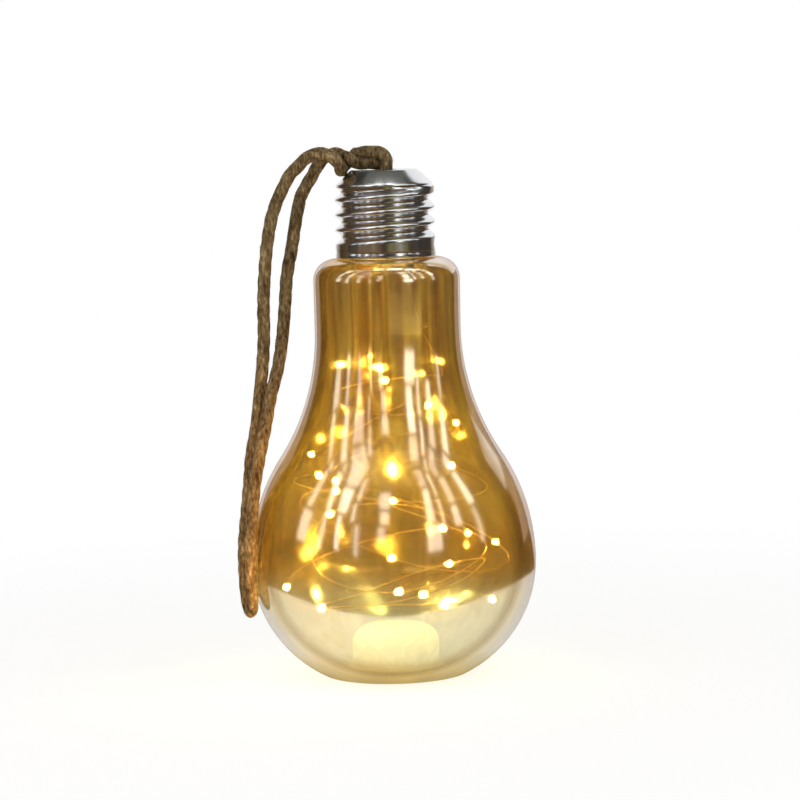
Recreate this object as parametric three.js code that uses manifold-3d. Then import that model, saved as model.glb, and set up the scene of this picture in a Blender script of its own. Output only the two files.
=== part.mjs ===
// Hanging bulb light: amber glass bulb, chrome screw cap, jute rope loop,
// and a battery cartridge with an LED string inside. Millimetres, +Z up,
// origin at the centre of the base that the bulb stands on.
import * as THREE from 'three';
import { mergeVertices } from 'three/addons/utils/BufferGeometryUtils.js';
import Module from 'manifold-3d';

const wasm = await Module();
wasm.setup();

// Clearances
const SEAT = 0.05; // between two faces that rest on each other
const FIT = 0.3; // round pieces that slip into each other
const RUN = 0.4; // screw threads, radially

// Glass bulb
const BELLY_R = 61.5; // widest radius
const UPPER_BELLY_R = 83; // arc above the widest circle
const LOWER_BELLY_R = 54.7; // arc below the widest circle
const BASE_CUT = 5.3; // depth of that arc cut off flat by the base
const FLARE_R = 100; // hollow arc between belly and neck
const NECK_R = 31.5;
const SHOULDER_Z = 180; // flat ledge that the cap closes on
const SHOULDER_R = 9;
const WALL = 2.2;
const BASE_WALL = 3.6;
const CORNER_R = 5; // rounding from base to belly
const INNER_CORNER_R = 4;
const PUNT_R = 18.75; // pushed-up middle of the base, seen from inside
const PUNT_Z = 21;
const PUNT_ROUND = 8;
const PUNT_WALL = 2.4;
const FOOT_ROUND = 2;
const UNDER_ROUND = 1.6;
const GLASS_SIDES = 36;

// Coin cells and cartridge
const CELL_R = 10;
const CELL_T = 3.2;
const LEAF_T = 0.3; // contact strip
const LEAF_RISE = 0.9; // bow of the negative leaf
const POSITIVE_RISE = 0.85;
const LEAF_WIDE = 5;
const CUP_FLOOR = 1.2;
const FLANGE_T = 1.6;
const LID_T = 1.4;
const GASKET_T = 0.8;
const BOARD_T = 1;
const SWITCH = new THREE.Vector3(8.6, 3.8, 3.4);
const SLIDER = new THREE.Vector2(3, 1.6);
const SLIDER_TRAVEL = 3.4;
const SLIDER_PROUD = 2.2;
const HEAD_ROOM = 1.5; // between switch and lid
const SCREW_R = 0.8;
const SCREW_HEAD_R = 1.9;
const SCREW_LONG = 4.5;
const BOSS_R = 2;

// Glass finish and screw closure
const FINISH_H = 11;
const FINISH_WALL = 2.4;
const BEAD_H = 1.2; // thread on the glass
const BEAD_W = 1.7;
const THREAD_PITCH = 4.2;
const THREAD_TURNS = 1.25;
const SLEEVE_WALL = 0.9;
const RIDGE_W = 1.5; // thread in the sleeve
const LINER_T = 1.2;
const LEDGE_T = 1.2;

// Cap shell
const CAP_WALL = 1;
const CAP_TOP_T = 1.6;
const CAP_GAP = 0.4; // rim above the glass ledge
const GROOVE_DEPTH = 2.6;
const GROOVE_PITCH = 6.43;
const GROOVE_LIFT = 6; // first groove above the glass ledge
const GROOVE_START = -0.06; // in turns from +X
const GROOVE_END = 3.62;
const GROOVE_FADE = 0.16;
const GROOVE_ROUND = 0.9; // below 1 widens the root and narrows the crest
const EDGE_LIFT = 31.4; // end of the straight side above the glass ledge
const CAP_H = 38; // flat top above the glass ledge
const TOP_R = 14;
const CAP_SIDES = 32;

// Rope
const ROPE_R = 2.75;
const ROPE_GAP = 0.35;
const WASHER_T = 1;
const WASHER_R = 10.5;
const KNOT_R = 2.7; // strands pressed together in the knot

// LED string
const WIRE_R = 0.35; // twisted pair
const WIRE_LOOPS = 8;
const WIRE_STEPS = 22; // in each loop
const WIRE_LEAD = 6; // steps of lead above the first loop
const LED_COUNT = 20;
const LED_FIRST = 8;
const LED_EVERY = 9;
const LED_R = 1.6;
const LED_LONG = 4.4;

// Sizes that follow from the ones above
const BELLY_Z = LOWER_BELLY_R - BASE_CUT; // height of the widest circle
const MOUTH_R = CELL_R + 2.8;
const FINISH_R = MOUTH_R + FINISH_WALL;
const SLEEVE_ROOT_R = FINISH_R + BEAD_H + RUN;
const SLEEVE_R = SLEEVE_ROOT_R + SLEEVE_WALL;
const CAP_BORE_R = SLEEVE_R + FIT;
const COLLAR_R = CAP_BORE_R + CAP_WALL + GROOVE_DEPTH;
const CAP_TOP_Z = SHOULDER_Z + CAP_H;
const RIM_Z = SHOULDER_Z + FINISH_H;
const GASKET_Z = RIM_Z + SEAT;
const FLANGE_Z = GASKET_Z + GASKET_T + SEAT;
const LID_Z = FLANGE_Z + FLANGE_T + SEAT;
const LINER_Z = LID_Z + LID_T + SEAT;
const LEDGE_Z = LINER_Z + LINER_T + SEAT;
const SWITCH_Z = LID_Z - HEAD_ROOM - SWITCH.z;
const BOARD_Z = SWITCH_Z - SEAT - BOARD_T;
const BOARD_LEDGE_Z = BOARD_Z - SEAT;
const POSITIVE_Z = BOARD_LEDGE_Z - SEAT - POSITIVE_RISE - LEAF_T;
const CELL_2_Z = POSITIVE_Z - SEAT - CELL_T;
const CELL_1_Z = CELL_2_Z - SEAT - CELL_T;
const NEGATIVE_Z = CELL_1_Z - SEAT - LEAF_RISE - LEAF_T;
const FLOOR_Z = NEGATIVE_Z - SEAT;
const CUP_Z = FLOOR_Z - CUP_FLOOR;
const CUP_R = MOUTH_R - 2 * FIT;
const POCKET_R = CELL_R + FIT;
const BOARD_R = CELL_R + 0.9;
const UPPER_R = BOARD_R + FIT;
const SLOT_R = CUP_R - 0.7;
const LID_R = FINISH_R - 2 * FIT;
const BOSS_Y = UPPER_R - BOSS_R + FIT;
const LEAD_X = (POCKET_R + SLOT_R) / 2;
const RELIEF_X = LEAD_X - 0.7;
const HOLE_R = 2 * ROPE_R + 0.5;
const WASHER_Z = CAP_TOP_Z - CAP_TOP_T - SEAT - WASHER_T;
const LEAN_R = BELLY_R + ROPE_R + ROPE_GAP; // rope against the belly

// Geometry helpers
const at = (x, y) => new THREE.Vector2(x, y);

function arc(x, y, radius, from, to, steps) {
  const points = [];
  for (let i = 0; i <= steps; i += 1) {
    const a = THREE.MathUtils.degToRad(from + ((to - from) * i) / steps);
    points.push(at(x + radius * Math.cos(a), y + radius * Math.sin(a)));
  }
  return points;
}

function outline(...parts) {
  const points = [];
  for (const p of parts.flat()) {
    const last = points[points.length - 1];
    if (!last || last.distanceTo(p) > 0.02) {
      points.push(p);
    }
  }
  return points;
}

function turned(points, sides) {
  const geometry = new THREE.LatheGeometry(points, sides);
  geometry.rotateX(Math.PI / 2);
  return geometry;
}

function ring(inner, outer, low, high, sides) {
  const corners = [at(inner, low), at(outer, low), at(outer, high), at(inner, high), at(inner, low)];
  return turned(corners, sides);
}

function disc(radius, low, high, sides) {
  return turned([at(0, low), at(radius, low), at(radius, high), at(0, high)], sides);
}

function block(x, y, z, cx, cy, low) {
  const geometry = new THREE.BoxGeometry(x, y, z);
  geometry.translate(cx, cy, low + z / 2);
  return geometry;
}

function polygon(radius, sides) {
  const points = [];
  for (let i = 0; i < sides; i += 1) {
    const a = (2 * Math.PI * i) / sides;
    points.push(at(radius * Math.cos(a), radius * Math.sin(a)));
  }
  return new THREE.Shape(points);
}

function smoothPath(points) {
  const list = points.map((p) => new THREE.Vector3(...p));
  const curve = new THREE.CatmullRomCurve3(list, false, 'centripetal');
  curve.arcLengthDivisions = 60 * points.length;
  return curve;
}

function tube(curve, radius, steps, sides) {
  const options = { steps, bevelEnabled: false, extrudePath: curve };
  return new THREE.ExtrudeGeometry(polygon(radius, sides), options);
}

function bent(points, width) {
  // Flat strip: an outline in X and Z, drawn out along Y
  const options = { depth: width, bevelEnabled: false };
  const geometry = new THREE.ExtrudeGeometry(new THREE.Shape(points), options);
  geometry.rotateX(Math.PI / 2);
  geometry.translate(0, width / 2, 0);
  return geometry;
}

function solidOf(geometry) {
  const plain = new THREE.BufferGeometry();
  plain.setAttribute('position', geometry.getAttribute('position').clone());
  if (geometry.index) {
    plain.setIndex(geometry.index.clone());
  }
  const merged = mergeVertices(plain, 1e-4);
  const kept = [];
  const index = merged.index.array;
  for (let i = 0; i < index.length; i += 3) {
    const [a, b, c] = [index[i], index[i + 1], index[i + 2]];
    if (a !== b && b !== c && c !== a) {
      kept.push(a, b, c);
    }
  }
  const mesh = new wasm.Mesh({
    numProp: 3,
    vertProperties: new Float32Array(merged.getAttribute('position').array),
    triVerts: new Uint32Array(kept),
  });
  return new wasm.Manifold(mesh);
}

function shapeOf(solid) {
  const mesh = solid.getMesh();
  const geometry = new THREE.BufferGeometry();
  const positions = new THREE.BufferAttribute(new Float32Array(mesh.vertProperties), 3);
  geometry.setAttribute('position', positions);
  geometry.setIndex(new THREE.BufferAttribute(new Uint32Array(mesh.triVerts), 1));
  geometry.computeVertexNormals();
  return geometry;
}

function joined(...geometries) {
  return shapeOf(geometries.map(solidOf).reduce((a, b) => a.add(b)));
}

function cut(geometry, ...tools) {
  return shapeOf(tools.map(solidOf).reduce((a, b) => a.subtract(b), solidOf(geometry)));
}

// Screw ridge: a four-sided section swept up a helix, sunk into its wall
// and fading into it at both ends.
function screwRidge(wallR, tipR, width, startZ, turns) {
  const steps = Math.round(28 * turns);
  const sunk = wallR < tipR ? -0.35 : 0.35;
  const positions = [];
  for (let i = 0; i <= steps; i += 1) {
    const angle = (2 * Math.PI * turns * i) / steps;
    const ends = Math.min(i, steps - i, 3) / 3;
    const tip = wallR + (tipR - wallR) * (0.05 + 0.95 * ends);
    const z = startZ + (THREAD_PITCH * angle) / (2 * Math.PI);
    const rows = [[wallR + sunk, -0.5], [tip, -0.28], [tip, 0.28], [wallR + sunk, 0.5]];
    for (const [r, w] of rows) {
      positions.push(r * Math.cos(angle), r * Math.sin(angle), z + w * width);
    }
  }
  const index = [];
  const quad = (a, b, c, d) => index.push(a, b, c, a, c, d);
  for (let i = 0; i < steps; i += 1) {
    for (let k = 0; k < 4; k += 1) {
      const next = (k + 1) % 4;
      quad(4 * i + k, 4 * i + 4 + k, 4 * i + 4 + next, 4 * i + next);
    }
  }
  quad(0, 1, 2, 3);
  quad(4 * steps + 3, 4 * steps + 2, 4 * steps + 1, 4 * steps);
  if (wallR > tipR) {
    for (let i = 0; i < index.length; i += 3) {
      [index[i], index[i + 1]] = [index[i + 1], index[i]];
    }
  }
  const geometry = new THREE.BufferGeometry();
  geometry.setAttribute('position', new THREE.Float32BufferAttribute(positions, 3));
  geometry.setIndex(index);
  return geometry;
}

// Centres of the glass arcs; neighbouring arcs are tangent
const UPPER_X = BELLY_R - UPPER_BELLY_R;
const LOWER_X = BELLY_R - LOWER_BELLY_R;
const FLARE_X = NECK_R + FLARE_R;
const FLARE_Z = BELLY_Z + Math.sqrt((UPPER_BELLY_R + FLARE_R) ** 2 - (FLARE_X - UPPER_X) ** 2);
const CORNER_RUN = Math.sqrt((LOWER_BELLY_R - CORNER_R) ** 2 - (BELLY_Z - CORNER_R) ** 2);
const CORNER_X = LOWER_X + CORNER_RUN;
const INNER_CORNER_Z = BASE_WALL + INNER_CORNER_R;
const INNER_CORNER_RUN = Math.sqrt(
  (LOWER_BELLY_R - WALL - INNER_CORNER_R) ** 2 - (BELLY_Z - INNER_CORNER_Z) ** 2,
);
const INNER_CORNER_X = LOWER_X + INNER_CORNER_RUN;
const degrees = (x, y) => THREE.MathUtils.radToDeg(Math.atan2(y, x));
const BEND = degrees(FLARE_X - UPPER_X, FLARE_Z - BELLY_Z);
const BEND_Z = BELLY_Z + UPPER_BELLY_R * Math.sin(THREE.MathUtils.degToRad(BEND));

function insideRadius(z) {
  if (z >= FLARE_Z) {
    return NECK_R - WALL;
  }
  if (z >= BEND_Z) {
    return FLARE_X - Math.sqrt((FLARE_R + WALL) ** 2 - (z - FLARE_Z) ** 2);
  }
  if (z >= BELLY_Z) {
    return UPPER_X + Math.sqrt((UPPER_BELLY_R - WALL) ** 2 - (z - BELLY_Z) ** 2);
  }
  return LOWER_X + Math.sqrt((LOWER_BELLY_R - WALL) ** 2 - (BELLY_Z - z) ** 2);
}

function glassBulb() {
  const puntX = PUNT_R - PUNT_ROUND;
  const puntZ = PUNT_Z - PUNT_ROUND;
  const underR = PUNT_R - PUNT_WALL;
  const low = degrees(CORNER_RUN, CORNER_R - BELLY_Z);
  const lowIn = degrees(INNER_CORNER_RUN, INNER_CORNER_Z - BELLY_Z);
  const top = SHOULDER_Z - SHOULDER_R;
  const shoulderX = NECK_R - SHOULDER_R;
  const lip = 0.8;
  const footX = PUNT_R + FOOT_ROUND;
  const profile = outline(
    at(0, PUNT_Z - PUNT_WALL),
    arc(puntX, puntZ, PUNT_ROUND - PUNT_WALL, 90, 0, 3),
    arc(underR + UNDER_ROUND, UNDER_ROUND, UNDER_ROUND, 180, 270, 2),
    arc(CORNER_X, CORNER_R, CORNER_R, -90, low, 3),
    arc(LOWER_X, BELLY_Z, LOWER_BELLY_R, low, 0, 5),
    arc(UPPER_X, BELLY_Z, UPPER_BELLY_R, 0, BEND, 5),
    arc(FLARE_X, FLARE_Z, FLARE_R, 180 + BEND, 180, 4),
    arc(shoulderX, top, SHOULDER_R, 0, 90, 4),
    at(FINISH_R, SHOULDER_Z),
    arc(FINISH_R - lip, RIM_Z - lip, lip, 0, 90, 2),
    at(MOUTH_R, RIM_Z),
    at(MOUTH_R, SHOULDER_Z - WALL),
    arc(shoulderX, top, SHOULDER_R - WALL, 90, 0, 3),
    arc(FLARE_X, FLARE_Z, FLARE_R + WALL, 180, 180 + BEND, 4),
    arc(UPPER_X, BELLY_Z, UPPER_BELLY_R - WALL, BEND, 0, 5),
    arc(LOWER_X, BELLY_Z, LOWER_BELLY_R - WALL, 0, lowIn, 5),
    arc(INNER_CORNER_X, INNER_CORNER_Z, INNER_CORNER_R, lowIn, -90, 3),
    arc(footX, BASE_WALL + FOOT_ROUND, FOOT_ROUND, 270, 180, 2),
    arc(puntX, puntZ, PUNT_ROUND, 0, 90, 3),
    at(0, PUNT_Z),
  );
  const tip = FINISH_R + BEAD_H;
  const bead = screwRidge(FINISH_R, tip, BEAD_W, SHOULDER_Z + 3.2, THREAD_TURNS);
  return joined(turned(profile, GLASS_SIDES), bead);
}

// Cap shell: a turned wall whose outside carries one helical groove
const smooth = (x) => {
  const t = THREE.MathUtils.clamp(x, 0, 1);
  return t * t * (3 - 2 * t);
};

function grooveAt(angle, z) {
  const turn = angle / (2 * Math.PI);
  const above = (z - SHOULDER_Z - GROOVE_LIFT) / GROOVE_PITCH - turn;
  const nearest = Math.round(above);
  const along = nearest + turn;
  const fade =
    smooth((along - GROOVE_START) / GROOVE_FADE) * smooth((GROOVE_END - along) / GROOVE_FADE);
  const wave = 0.5 + 0.5 * Math.cos(2 * Math.PI * (above - nearest));
  return GROOVE_DEPTH * fade * wave ** GROOVE_ROUND;
}

function capShell() {
  const low = SHOULDER_Z + CAP_GAP;
  const edge = SHOULDER_Z + EDGE_LIFT;
  const coneR = COLLAR_R - 1.4;
  const coneZ = edge + 1;
  const insideTop = CAP_TOP_Z - CAP_TOP_T;
  const slant = (coneR - TOP_R) / (CAP_TOP_Z - coneZ);
  const insideTopR = TOP_R - 1.3;
  const insideEdgeZ = insideTop - (CAP_BORE_R - insideTopR) / slant;
  const rows = [
    at(CAP_BORE_R, low),
    at(COLLAR_R - 0.7, low),
    at(COLLAR_R, low + 0.7),
    at(COLLAR_R, low + 2.1),
    at(COLLAR_R - 0.45, low + 2.6),
    at(COLLAR_R, low + 3.1),
  ];
  const count = Math.round((6 * (edge - low - 3.1)) / GROOVE_PITCH);
  for (let i = 1; i <= count; i += 1) {
    rows.push(at(COLLAR_R, low + 3.1 + ((edge - low - 3.1) * i) / count));
  }
  rows.push(at(COLLAR_R - 0.4, edge + 0.6));
  rows.push(at(coneR, coneZ));
  rows.push(at(TOP_R, CAP_TOP_Z));
  rows.push(at(HOLE_R + 0.6, CAP_TOP_Z));
  rows.push(at(HOLE_R, CAP_TOP_Z - 0.6));
  rows.push(at(HOLE_R, insideTop));
  rows.push(at(insideTopR, insideTop));
  rows.push(at(CAP_BORE_R, insideEdgeZ));
  const positions = [];
  const index = [];
  for (const row of rows) {
    for (let j = 0; j < CAP_SIDES; j += 1) {
      const angle = (2 * Math.PI * j) / CAP_SIDES;
      const grooved = row.x === COLLAR_R && row.y > low + 2.6;
      const r = grooved ? row.x - grooveAt(angle, row.y) : row.x;
      positions.push(r * Math.cos(angle), r * Math.sin(angle), row.y);
    }
  }
  for (let i = 0; i < rows.length; i += 1) {
    const up = (i + 1) % rows.length;
    for (let j = 0; j < CAP_SIDES; j += 1) {
      const on = (j + 1) % CAP_SIDES;
      const [a, b] = [i * CAP_SIDES + j, i * CAP_SIDES + on];
      const [c, d] = [up * CAP_SIDES + on, up * CAP_SIDES + j];
      index.push(a, b, c, a, c, d);
    }
  }
  const geometry = new THREE.BufferGeometry();
  geometry.setAttribute('position', new THREE.Float32BufferAttribute(positions, 3));
  geometry.setIndex(index);
  geometry.computeVertexNormals();
  return geometry;
}

function threadSleeve() {
  const low = SHOULDER_Z + 1;
  const profile = [
    at(SLEEVE_ROOT_R, low),
    at(SLEEVE_R, low),
    at(SLEEVE_R, LEDGE_Z + LEDGE_T),
    at(CELL_R + 1.8, LEDGE_Z + LEDGE_T),
    at(CELL_R + 1.8, LEDGE_Z),
    at(SLEEVE_ROOT_R, LEDGE_Z),
    at(SLEEVE_ROOT_R, low),
  ];
  const start = SHOULDER_Z + 3.2 - THREAD_PITCH / 2;
  const ridge = screwRidge(SLEEVE_ROOT_R, FINISH_R + RUN, RIDGE_W, start + 1, THREAD_TURNS);
  ridge.rotateZ((2 * Math.PI * 1) / THREAD_PITCH);
  return joined(turned(profile, 28), ridge);
}

// Battery cartridge
function cartridgeCup() {
  const profile = [
    at(0, CUP_Z),
    at(CUP_R - 0.8, CUP_Z),
    at(CUP_R, CUP_Z + 0.8),
    at(CUP_R, FLANGE_Z),
    at(LID_R, FLANGE_Z),
    at(LID_R, FLANGE_Z + FLANGE_T),
    at(UPPER_R, FLANGE_Z + FLANGE_T),
    at(UPPER_R, BOARD_LEDGE_Z),
    at(POCKET_R, BOARD_LEDGE_Z),
    at(POCKET_R, FLOOR_Z),
    at(0, FLOOR_Z),
  ];
  const bosses = [1, -1].map((side) => {
    const boss = disc(BOSS_R, BOARD_LEDGE_Z, FLANGE_Z + FLANGE_T, 12);
    boss.translate(0, side * BOSS_Y, 0);
    return boss;
  });
  const holes = [1, -1].map((side) => {
    const hole = disc(SCREW_R + FIT, FLANGE_Z + FLANGE_T - SCREW_LONG, LID_Z + 1, 12);
    hole.translate(0, side * BOSS_Y, 0);
    return hole;
  });
  const channels = [1, -1].map((side) => {
    const deep = SLOT_R - POCKET_R + 1;
    const x = side * (SLOT_R - deep / 2);
    return block(deep, 3, BOARD_LEDGE_Z - FLOOR_Z + 0.4, x, 0, FLOOR_Z);
  });
  const exit = disc(1.2, CUP_Z - 1, FLOOR_Z + 0.5, 12);
  exit.translate(RELIEF_X, 0, 0);
  const cup = joined(turned(profile, 28), ...bosses);
  return cut(cup, ...holes, ...channels, exit);
}

function cartridgeLid() {
  const profile = [
    at(0, LID_Z),
    at(LID_R, LID_Z),
    at(LID_R, LID_Z + LID_T),
    at(0, LID_Z + LID_T),
  ];
  const holes = [1, -1].map((side) => {
    const hole = disc(SCREW_R + FIT, LID_Z - 1, LID_Z + LID_T + 1, 12);
    hole.translate(0, side * BOSS_Y, 0);
    return hole;
  });
  const long = SLIDER.x + SLIDER_TRAVEL + 2 * RUN;
  const slot = block(long, SLIDER.y + 2 * RUN, LID_T + 2, 0, 0, LID_Z - 1);
  return cut(turned(profile, 28), ...holes, slot);
}

function lidScrew(side) {
  const seat = LID_Z + LID_T + SEAT;
  const profile = [
    at(0, seat - SCREW_LONG),
    at(SCREW_R, seat - SCREW_LONG + SCREW_R),
    at(SCREW_R, seat),
    at(SCREW_HEAD_R, seat),
    at(SCREW_HEAD_R, seat + 0.6),
    at(SCREW_HEAD_R * 0.55, seat + 1.1),
    at(0, seat + 1.1),
  ];
  const cross = block(2.2, 0.5, 1, 0, 0, seat + 0.5);
  const geometry = cut(turned(profile, 12), cross);
  geometry.translate(0, side * BOSS_Y, 0);
  return geometry;
}

function coinCell(low) {
  const profile = [
    at(0, low),
    at(CELL_R - 1.6, low),
    at(CELL_R - 1.2, low + 0.4),
    at(CELL_R, low + 0.5),
    at(CELL_R, low + CELL_T - 0.3),
    at(CELL_R - 0.3, low + CELL_T),
    at(0, low + CELL_T),
  ];
  return turned(profile, 24);
}

function negativeContact() {
  // Bowed leaf under the cells, with a leg up the side channel to the board
  const legX = -(POCKET_R + SLOT_R) / 2;
  const reach = 7.5;
  const bowR = (reach ** 2 + LEAF_RISE ** 2) / (2 * LEAF_RISE);
  const bowZ = NEGATIVE_Z + LEAF_T + LEAF_RISE - bowR;
  const half = degrees(bowR - LEAF_RISE, reach);
  const points = outline(
    at(legX - LEAF_T / 2, NEGATIVE_Z),
    at(-reach, NEGATIVE_Z),
    arc(0, bowZ, bowR - LEAF_T, 90 + half * 0.9, 90 - half * 0.9, 6),
    at(reach, NEGATIVE_Z),
    at(reach, NEGATIVE_Z + LEAF_T),
    arc(0, bowZ, bowR, 90 - half * 0.9, 90 + half * 0.9, 6),
    at(-reach, NEGATIVE_Z + LEAF_T),
    at(legX + LEAF_T / 2, NEGATIVE_Z + LEAF_T),
    at(legX + LEAF_T / 2, BOARD_LEDGE_Z),
    at(legX - LEAF_T / 2, BOARD_LEDGE_Z),
  );
  return bent(points, 2.2);
}

function positiveContact() {
  const half = 4;
  const foot = 3;
  const low = POSITIVE_Z;
  const high = POSITIVE_Z + LEAF_T + POSITIVE_RISE;
  const points = [
    at(-half, low),
    at(half, low),
    at(half, high - LEAF_T),
    at(half + foot, high - LEAF_T),
    at(half + foot, high),
    at(half - LEAF_T, high),
    at(half - LEAF_T, low + LEAF_T),
    at(LEAF_T - half, low + LEAF_T),
    at(LEAF_T - half, high),
    at(-half - foot, high),
    at(-half - foot, high - LEAF_T),
    at(-half, high - LEAF_T),
  ];
  return bent(points, LEAF_WIDE);
}

function circuitBoard() {
  const notches = [1, -1].map((side) => {
    const notch = disc(BOSS_R + FIT, BOARD_Z - 1, BOARD_Z + BOARD_T + 1, 12);
    notch.translate(0, side * BOSS_Y, 0);
    return notch;
  });
  return cut(disc(BOARD_R, BOARD_Z, BOARD_Z + BOARD_T, 24), ...notches);
}

function switchBody() {
  const body = block(SWITCH.x, SWITCH.y, SWITCH.z, 0, 0, SWITCH_Z);
  const long = SLIDER.x + SLIDER_TRAVEL + 2 * FIT;
  return cut(body, block(long, SLIDER.y + 2 * FIT, 3, 0, 0, SWITCH_Z + SWITCH.z - 1.4));
}

function switchSlider() {
  const low = SWITCH_Z + SWITCH.z - 1.3;
  const high = LID_Z + LID_T + SLIDER_PROUD;
  const rest = -SLIDER_TRAVEL / 2;
  const stem = block(SLIDER.x, SLIDER.y, high - low, rest, 0, low);
  const grips = [-0.9, 0, 0.9].map((x) => block(0.35, 4, 1, rest + x, 0, high - 0.35));
  return cut(stem, ...grips);
}

function resistor() {
  const half = 2.3;
  const profile = [
    at(0, -half),
    at(0.8, -half),
    at(1, -half + 0.4),
    at(1, -half + 1),
    at(0.8, -half + 1.3),
    at(0.8, half - 1.3),
    at(1, half - 1),
    at(1, half - 0.4),
    at(0.8, half),
    at(0, half),
  ];
  const geometry = turned(profile, 10);
  geometry.rotateY(Math.PI / 2);
  geometry.translate(-5.2, -4.8, BOARD_Z + BOARD_T + SEAT + 1);
  return geometry;
}

function innerLead() {
  const points = [
    [RELIEF_X + 0.1, 0, FLOOR_Z + FIT],
    [RELIEF_X + 0.3, 0, FLOOR_Z + 0.6],
    [LEAD_X, 0, CELL_1_Z],
    [LEAD_X, 0, CELL_2_Z],
    [LEAD_X, 0, BOARD_LEDGE_Z],
  ];
  return tube(smoothPath(points), 0.4, 8, 8);
}

function strainRelief() {
  const profile = [
    at(0, CUP_Z - 5),
    at(0.8, CUP_Z - 5),
    at(1.1, CUP_Z - 3.6),
    at(0.9, CUP_Z - 3.2),
    at(1.4, CUP_Z - 1.6),
    at(1.2, CUP_Z - 1.3),
    at(1.9, CUP_Z - 1),
    at(1.9, CUP_Z - SEAT),
    at(0.9, CUP_Z - SEAT),
    at(0.9, FLOOR_Z),
    at(0, FLOOR_Z),
  ];
  const geometry = turned(profile, 12);
  geometry.translate(RELIEF_X, 0, 0);
  return geometry;
}

// LED string: one wire in loose tilted loops down the inside of the bulb
function wirePoints() {
  const top = CUP_Z - 5 - FIT;
  const points = [
    [RELIEF_X, 0, top],
    [RELIEF_X + 0.4, 0.5, top - 9],
    [RELIEF_X + 3, 2, top - 20],
  ];
  const high = top - 44;
  const low = PUNT_Z + 9;
  const count = WIRE_LOOPS * WIRE_STEPS;
  for (let i = 0; i <= count; i += 1) {
    const t = i / count;
    const angle = 2 * Math.PI * WIRE_LOOPS * t + 0.5;
    const middle = high + (low - high) * (1.35 * t - 0.35 * t * t);
    const tilt = (6 + 7 * Math.sin(Math.PI * t)) * smooth(6 * t) * smooth(5 * (1 - t) + 0.35);
    const z = middle + tilt * Math.sin(angle + 9 * t);
    const spread = 0.74 + 0.13 * Math.sin(0.62 * angle + 1.1) + 0.05 * Math.sin(2.7 * angle);
    const r = (insideRadius(z) - LED_R - 1.2) * spread;
    points.push([r * Math.cos(angle), r * Math.sin(angle), z]);
  }
  return points;
}

const wirePath = smoothPath(wirePoints());
const wireSteps = WIRE_LOOPS * WIRE_STEPS + WIRE_LEAD;
const wireRings = wirePath.getSpacedPoints(wireSteps);

function leastGap(points, radius, apart) {
  let least = Infinity;
  for (let i = 0; i < points.length; i += 1) {
    for (let j = i + apart; j < points.length; j += 1) {
      least = Math.min(least, points[i].distanceTo(points[j]) - 2 * radius);
    }
  }
  return least;
}

const finePoints = wirePath.getSpacedPoints(wireSteps * 6);
console.log('led_wire length mm', wirePath.getLength().toFixed(1));
console.log('led_wire least gap to itself mm', leastGap(finePoints, WIRE_R, 36).toFixed(2));

function ledBead(number) {
  const half = LED_LONG / 2;
  const bore = WIRE_R + FIT;
  const profile = [
    at(bore, -half),
    at(LED_R * 0.6, -half),
    at(LED_R, -half * 0.35),
    at(LED_R, half * 0.35),
    at(LED_R * 0.6, half),
    at(bore, half),
    at(bore, -half),
  ];
  const geometry = turned(profile, 6);
  const step = LED_FIRST + LED_EVERY * number;
  const [from, to] = [wireRings[step - 1], wireRings[step]];
  const along = to.clone().sub(from).normalize();
  const upright = new THREE.Vector3(0, 0, 1);
  geometry.applyQuaternion(new THREE.Quaternion().setFromUnitVectors(upright, along));
  const middle = from.clone().add(to).multiplyScalar(0.5);
  geometry.translate(middle.x, middle.y, middle.z);
  return geometry;
}

// Rope: both strands come up through the cap, one is hitched round the
// other on top, then they hang as one long loop against the belly.
const pairY = ROPE_R + 0.15;
const onCap = ([x, y, z]) => [x, y, CAP_TOP_Z + z];
const split = WASHER_Z - CAP_TOP_Z - FIT;

const frontKnot = [
  [0.8, -pairY, split],
  [1.1, -pairY, 1],
  [1.2, -3, 4.4],
  [-0.8, -2.6, 7],
  [-4.6, -1.4, 7.7],
  [-9, 1.1, 7.4],
  [-12.2, 4.8, 6.5],
  [-14.6, 6.8, 4],
  [-17.2, 5.2, 1.5],
  [-18.5, 0.2, 0.3],
  [-18, -4.8, 0.5],
  [-19.6, -7.2, 3.7],
  [-23.8, -6.4, 7.1],
  [-29.3, -5.5, 7.4],
  [-32.6, -5.2, 5.9],
  [-34.6, -5.2, 4.3],
  [-35.6, -5.2, 3.3],
].map(onCap);

const rearKnot = [
  [0.8, pairY, split],
  [0.7, pairY, 0.4],
  [-1, 2.2, 2.2],
  [-4.4, 0.2, 2.85],
  [-9, -0.4, 2.85],
  [-12.6, -1, 3.5],
  [-16.6, -0.8, 5.9],
  [-21, 0.6, 7.2],
  [-25.2, 2, 5.6],
  [-28.4, 3, 2],
  [-30.64, 3.3, -1.8],
  [-31.3, 3.4, -2.8],
].map(onCap);

// Loop: down one strand, round the bend at the bottom, up the other, which
// hangs further to the front. The long runs give the distance in from the
// line that leans on the belly, the depth, and the share of the cap's height.
const onBelly = ([inset, y, share]) => [inset - LEAN_R, y, share * CAP_TOP_Z];
const frontTop = [
  [-35.85, -5.2, 3.05],
  [-37, -5.2, 1.9],
  [-40.48, -5.4, -1.65],
  [-42.73, -5.7, -5.84],
  [-44.97, -6, -10.04],
  [-48.19, -6.4, -18.48],
].map(onCap);
const frontRun = [
  [13.9, -6.8, 0.8568],
  [12.5, -7, 0.7981],
  [11.7, -7, 0.7393],
  [11.5, -7.2, 0.6803],
  [10.5, -7.6, 0.6214],
  [8.9, -8, 0.5625],
  [7.2, -8.4, 0.5036],
  [4.7, -8.8, 0.4447],
  [3.4, -9.2, 0.3856],
  [1.9, -9.6, 0.3264],
  [0.5, -9.8, 0.267],
  [0.4, -9.8, 0.2073],
  [1, -10.2, 0.1636],
].map(onBelly);
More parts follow.
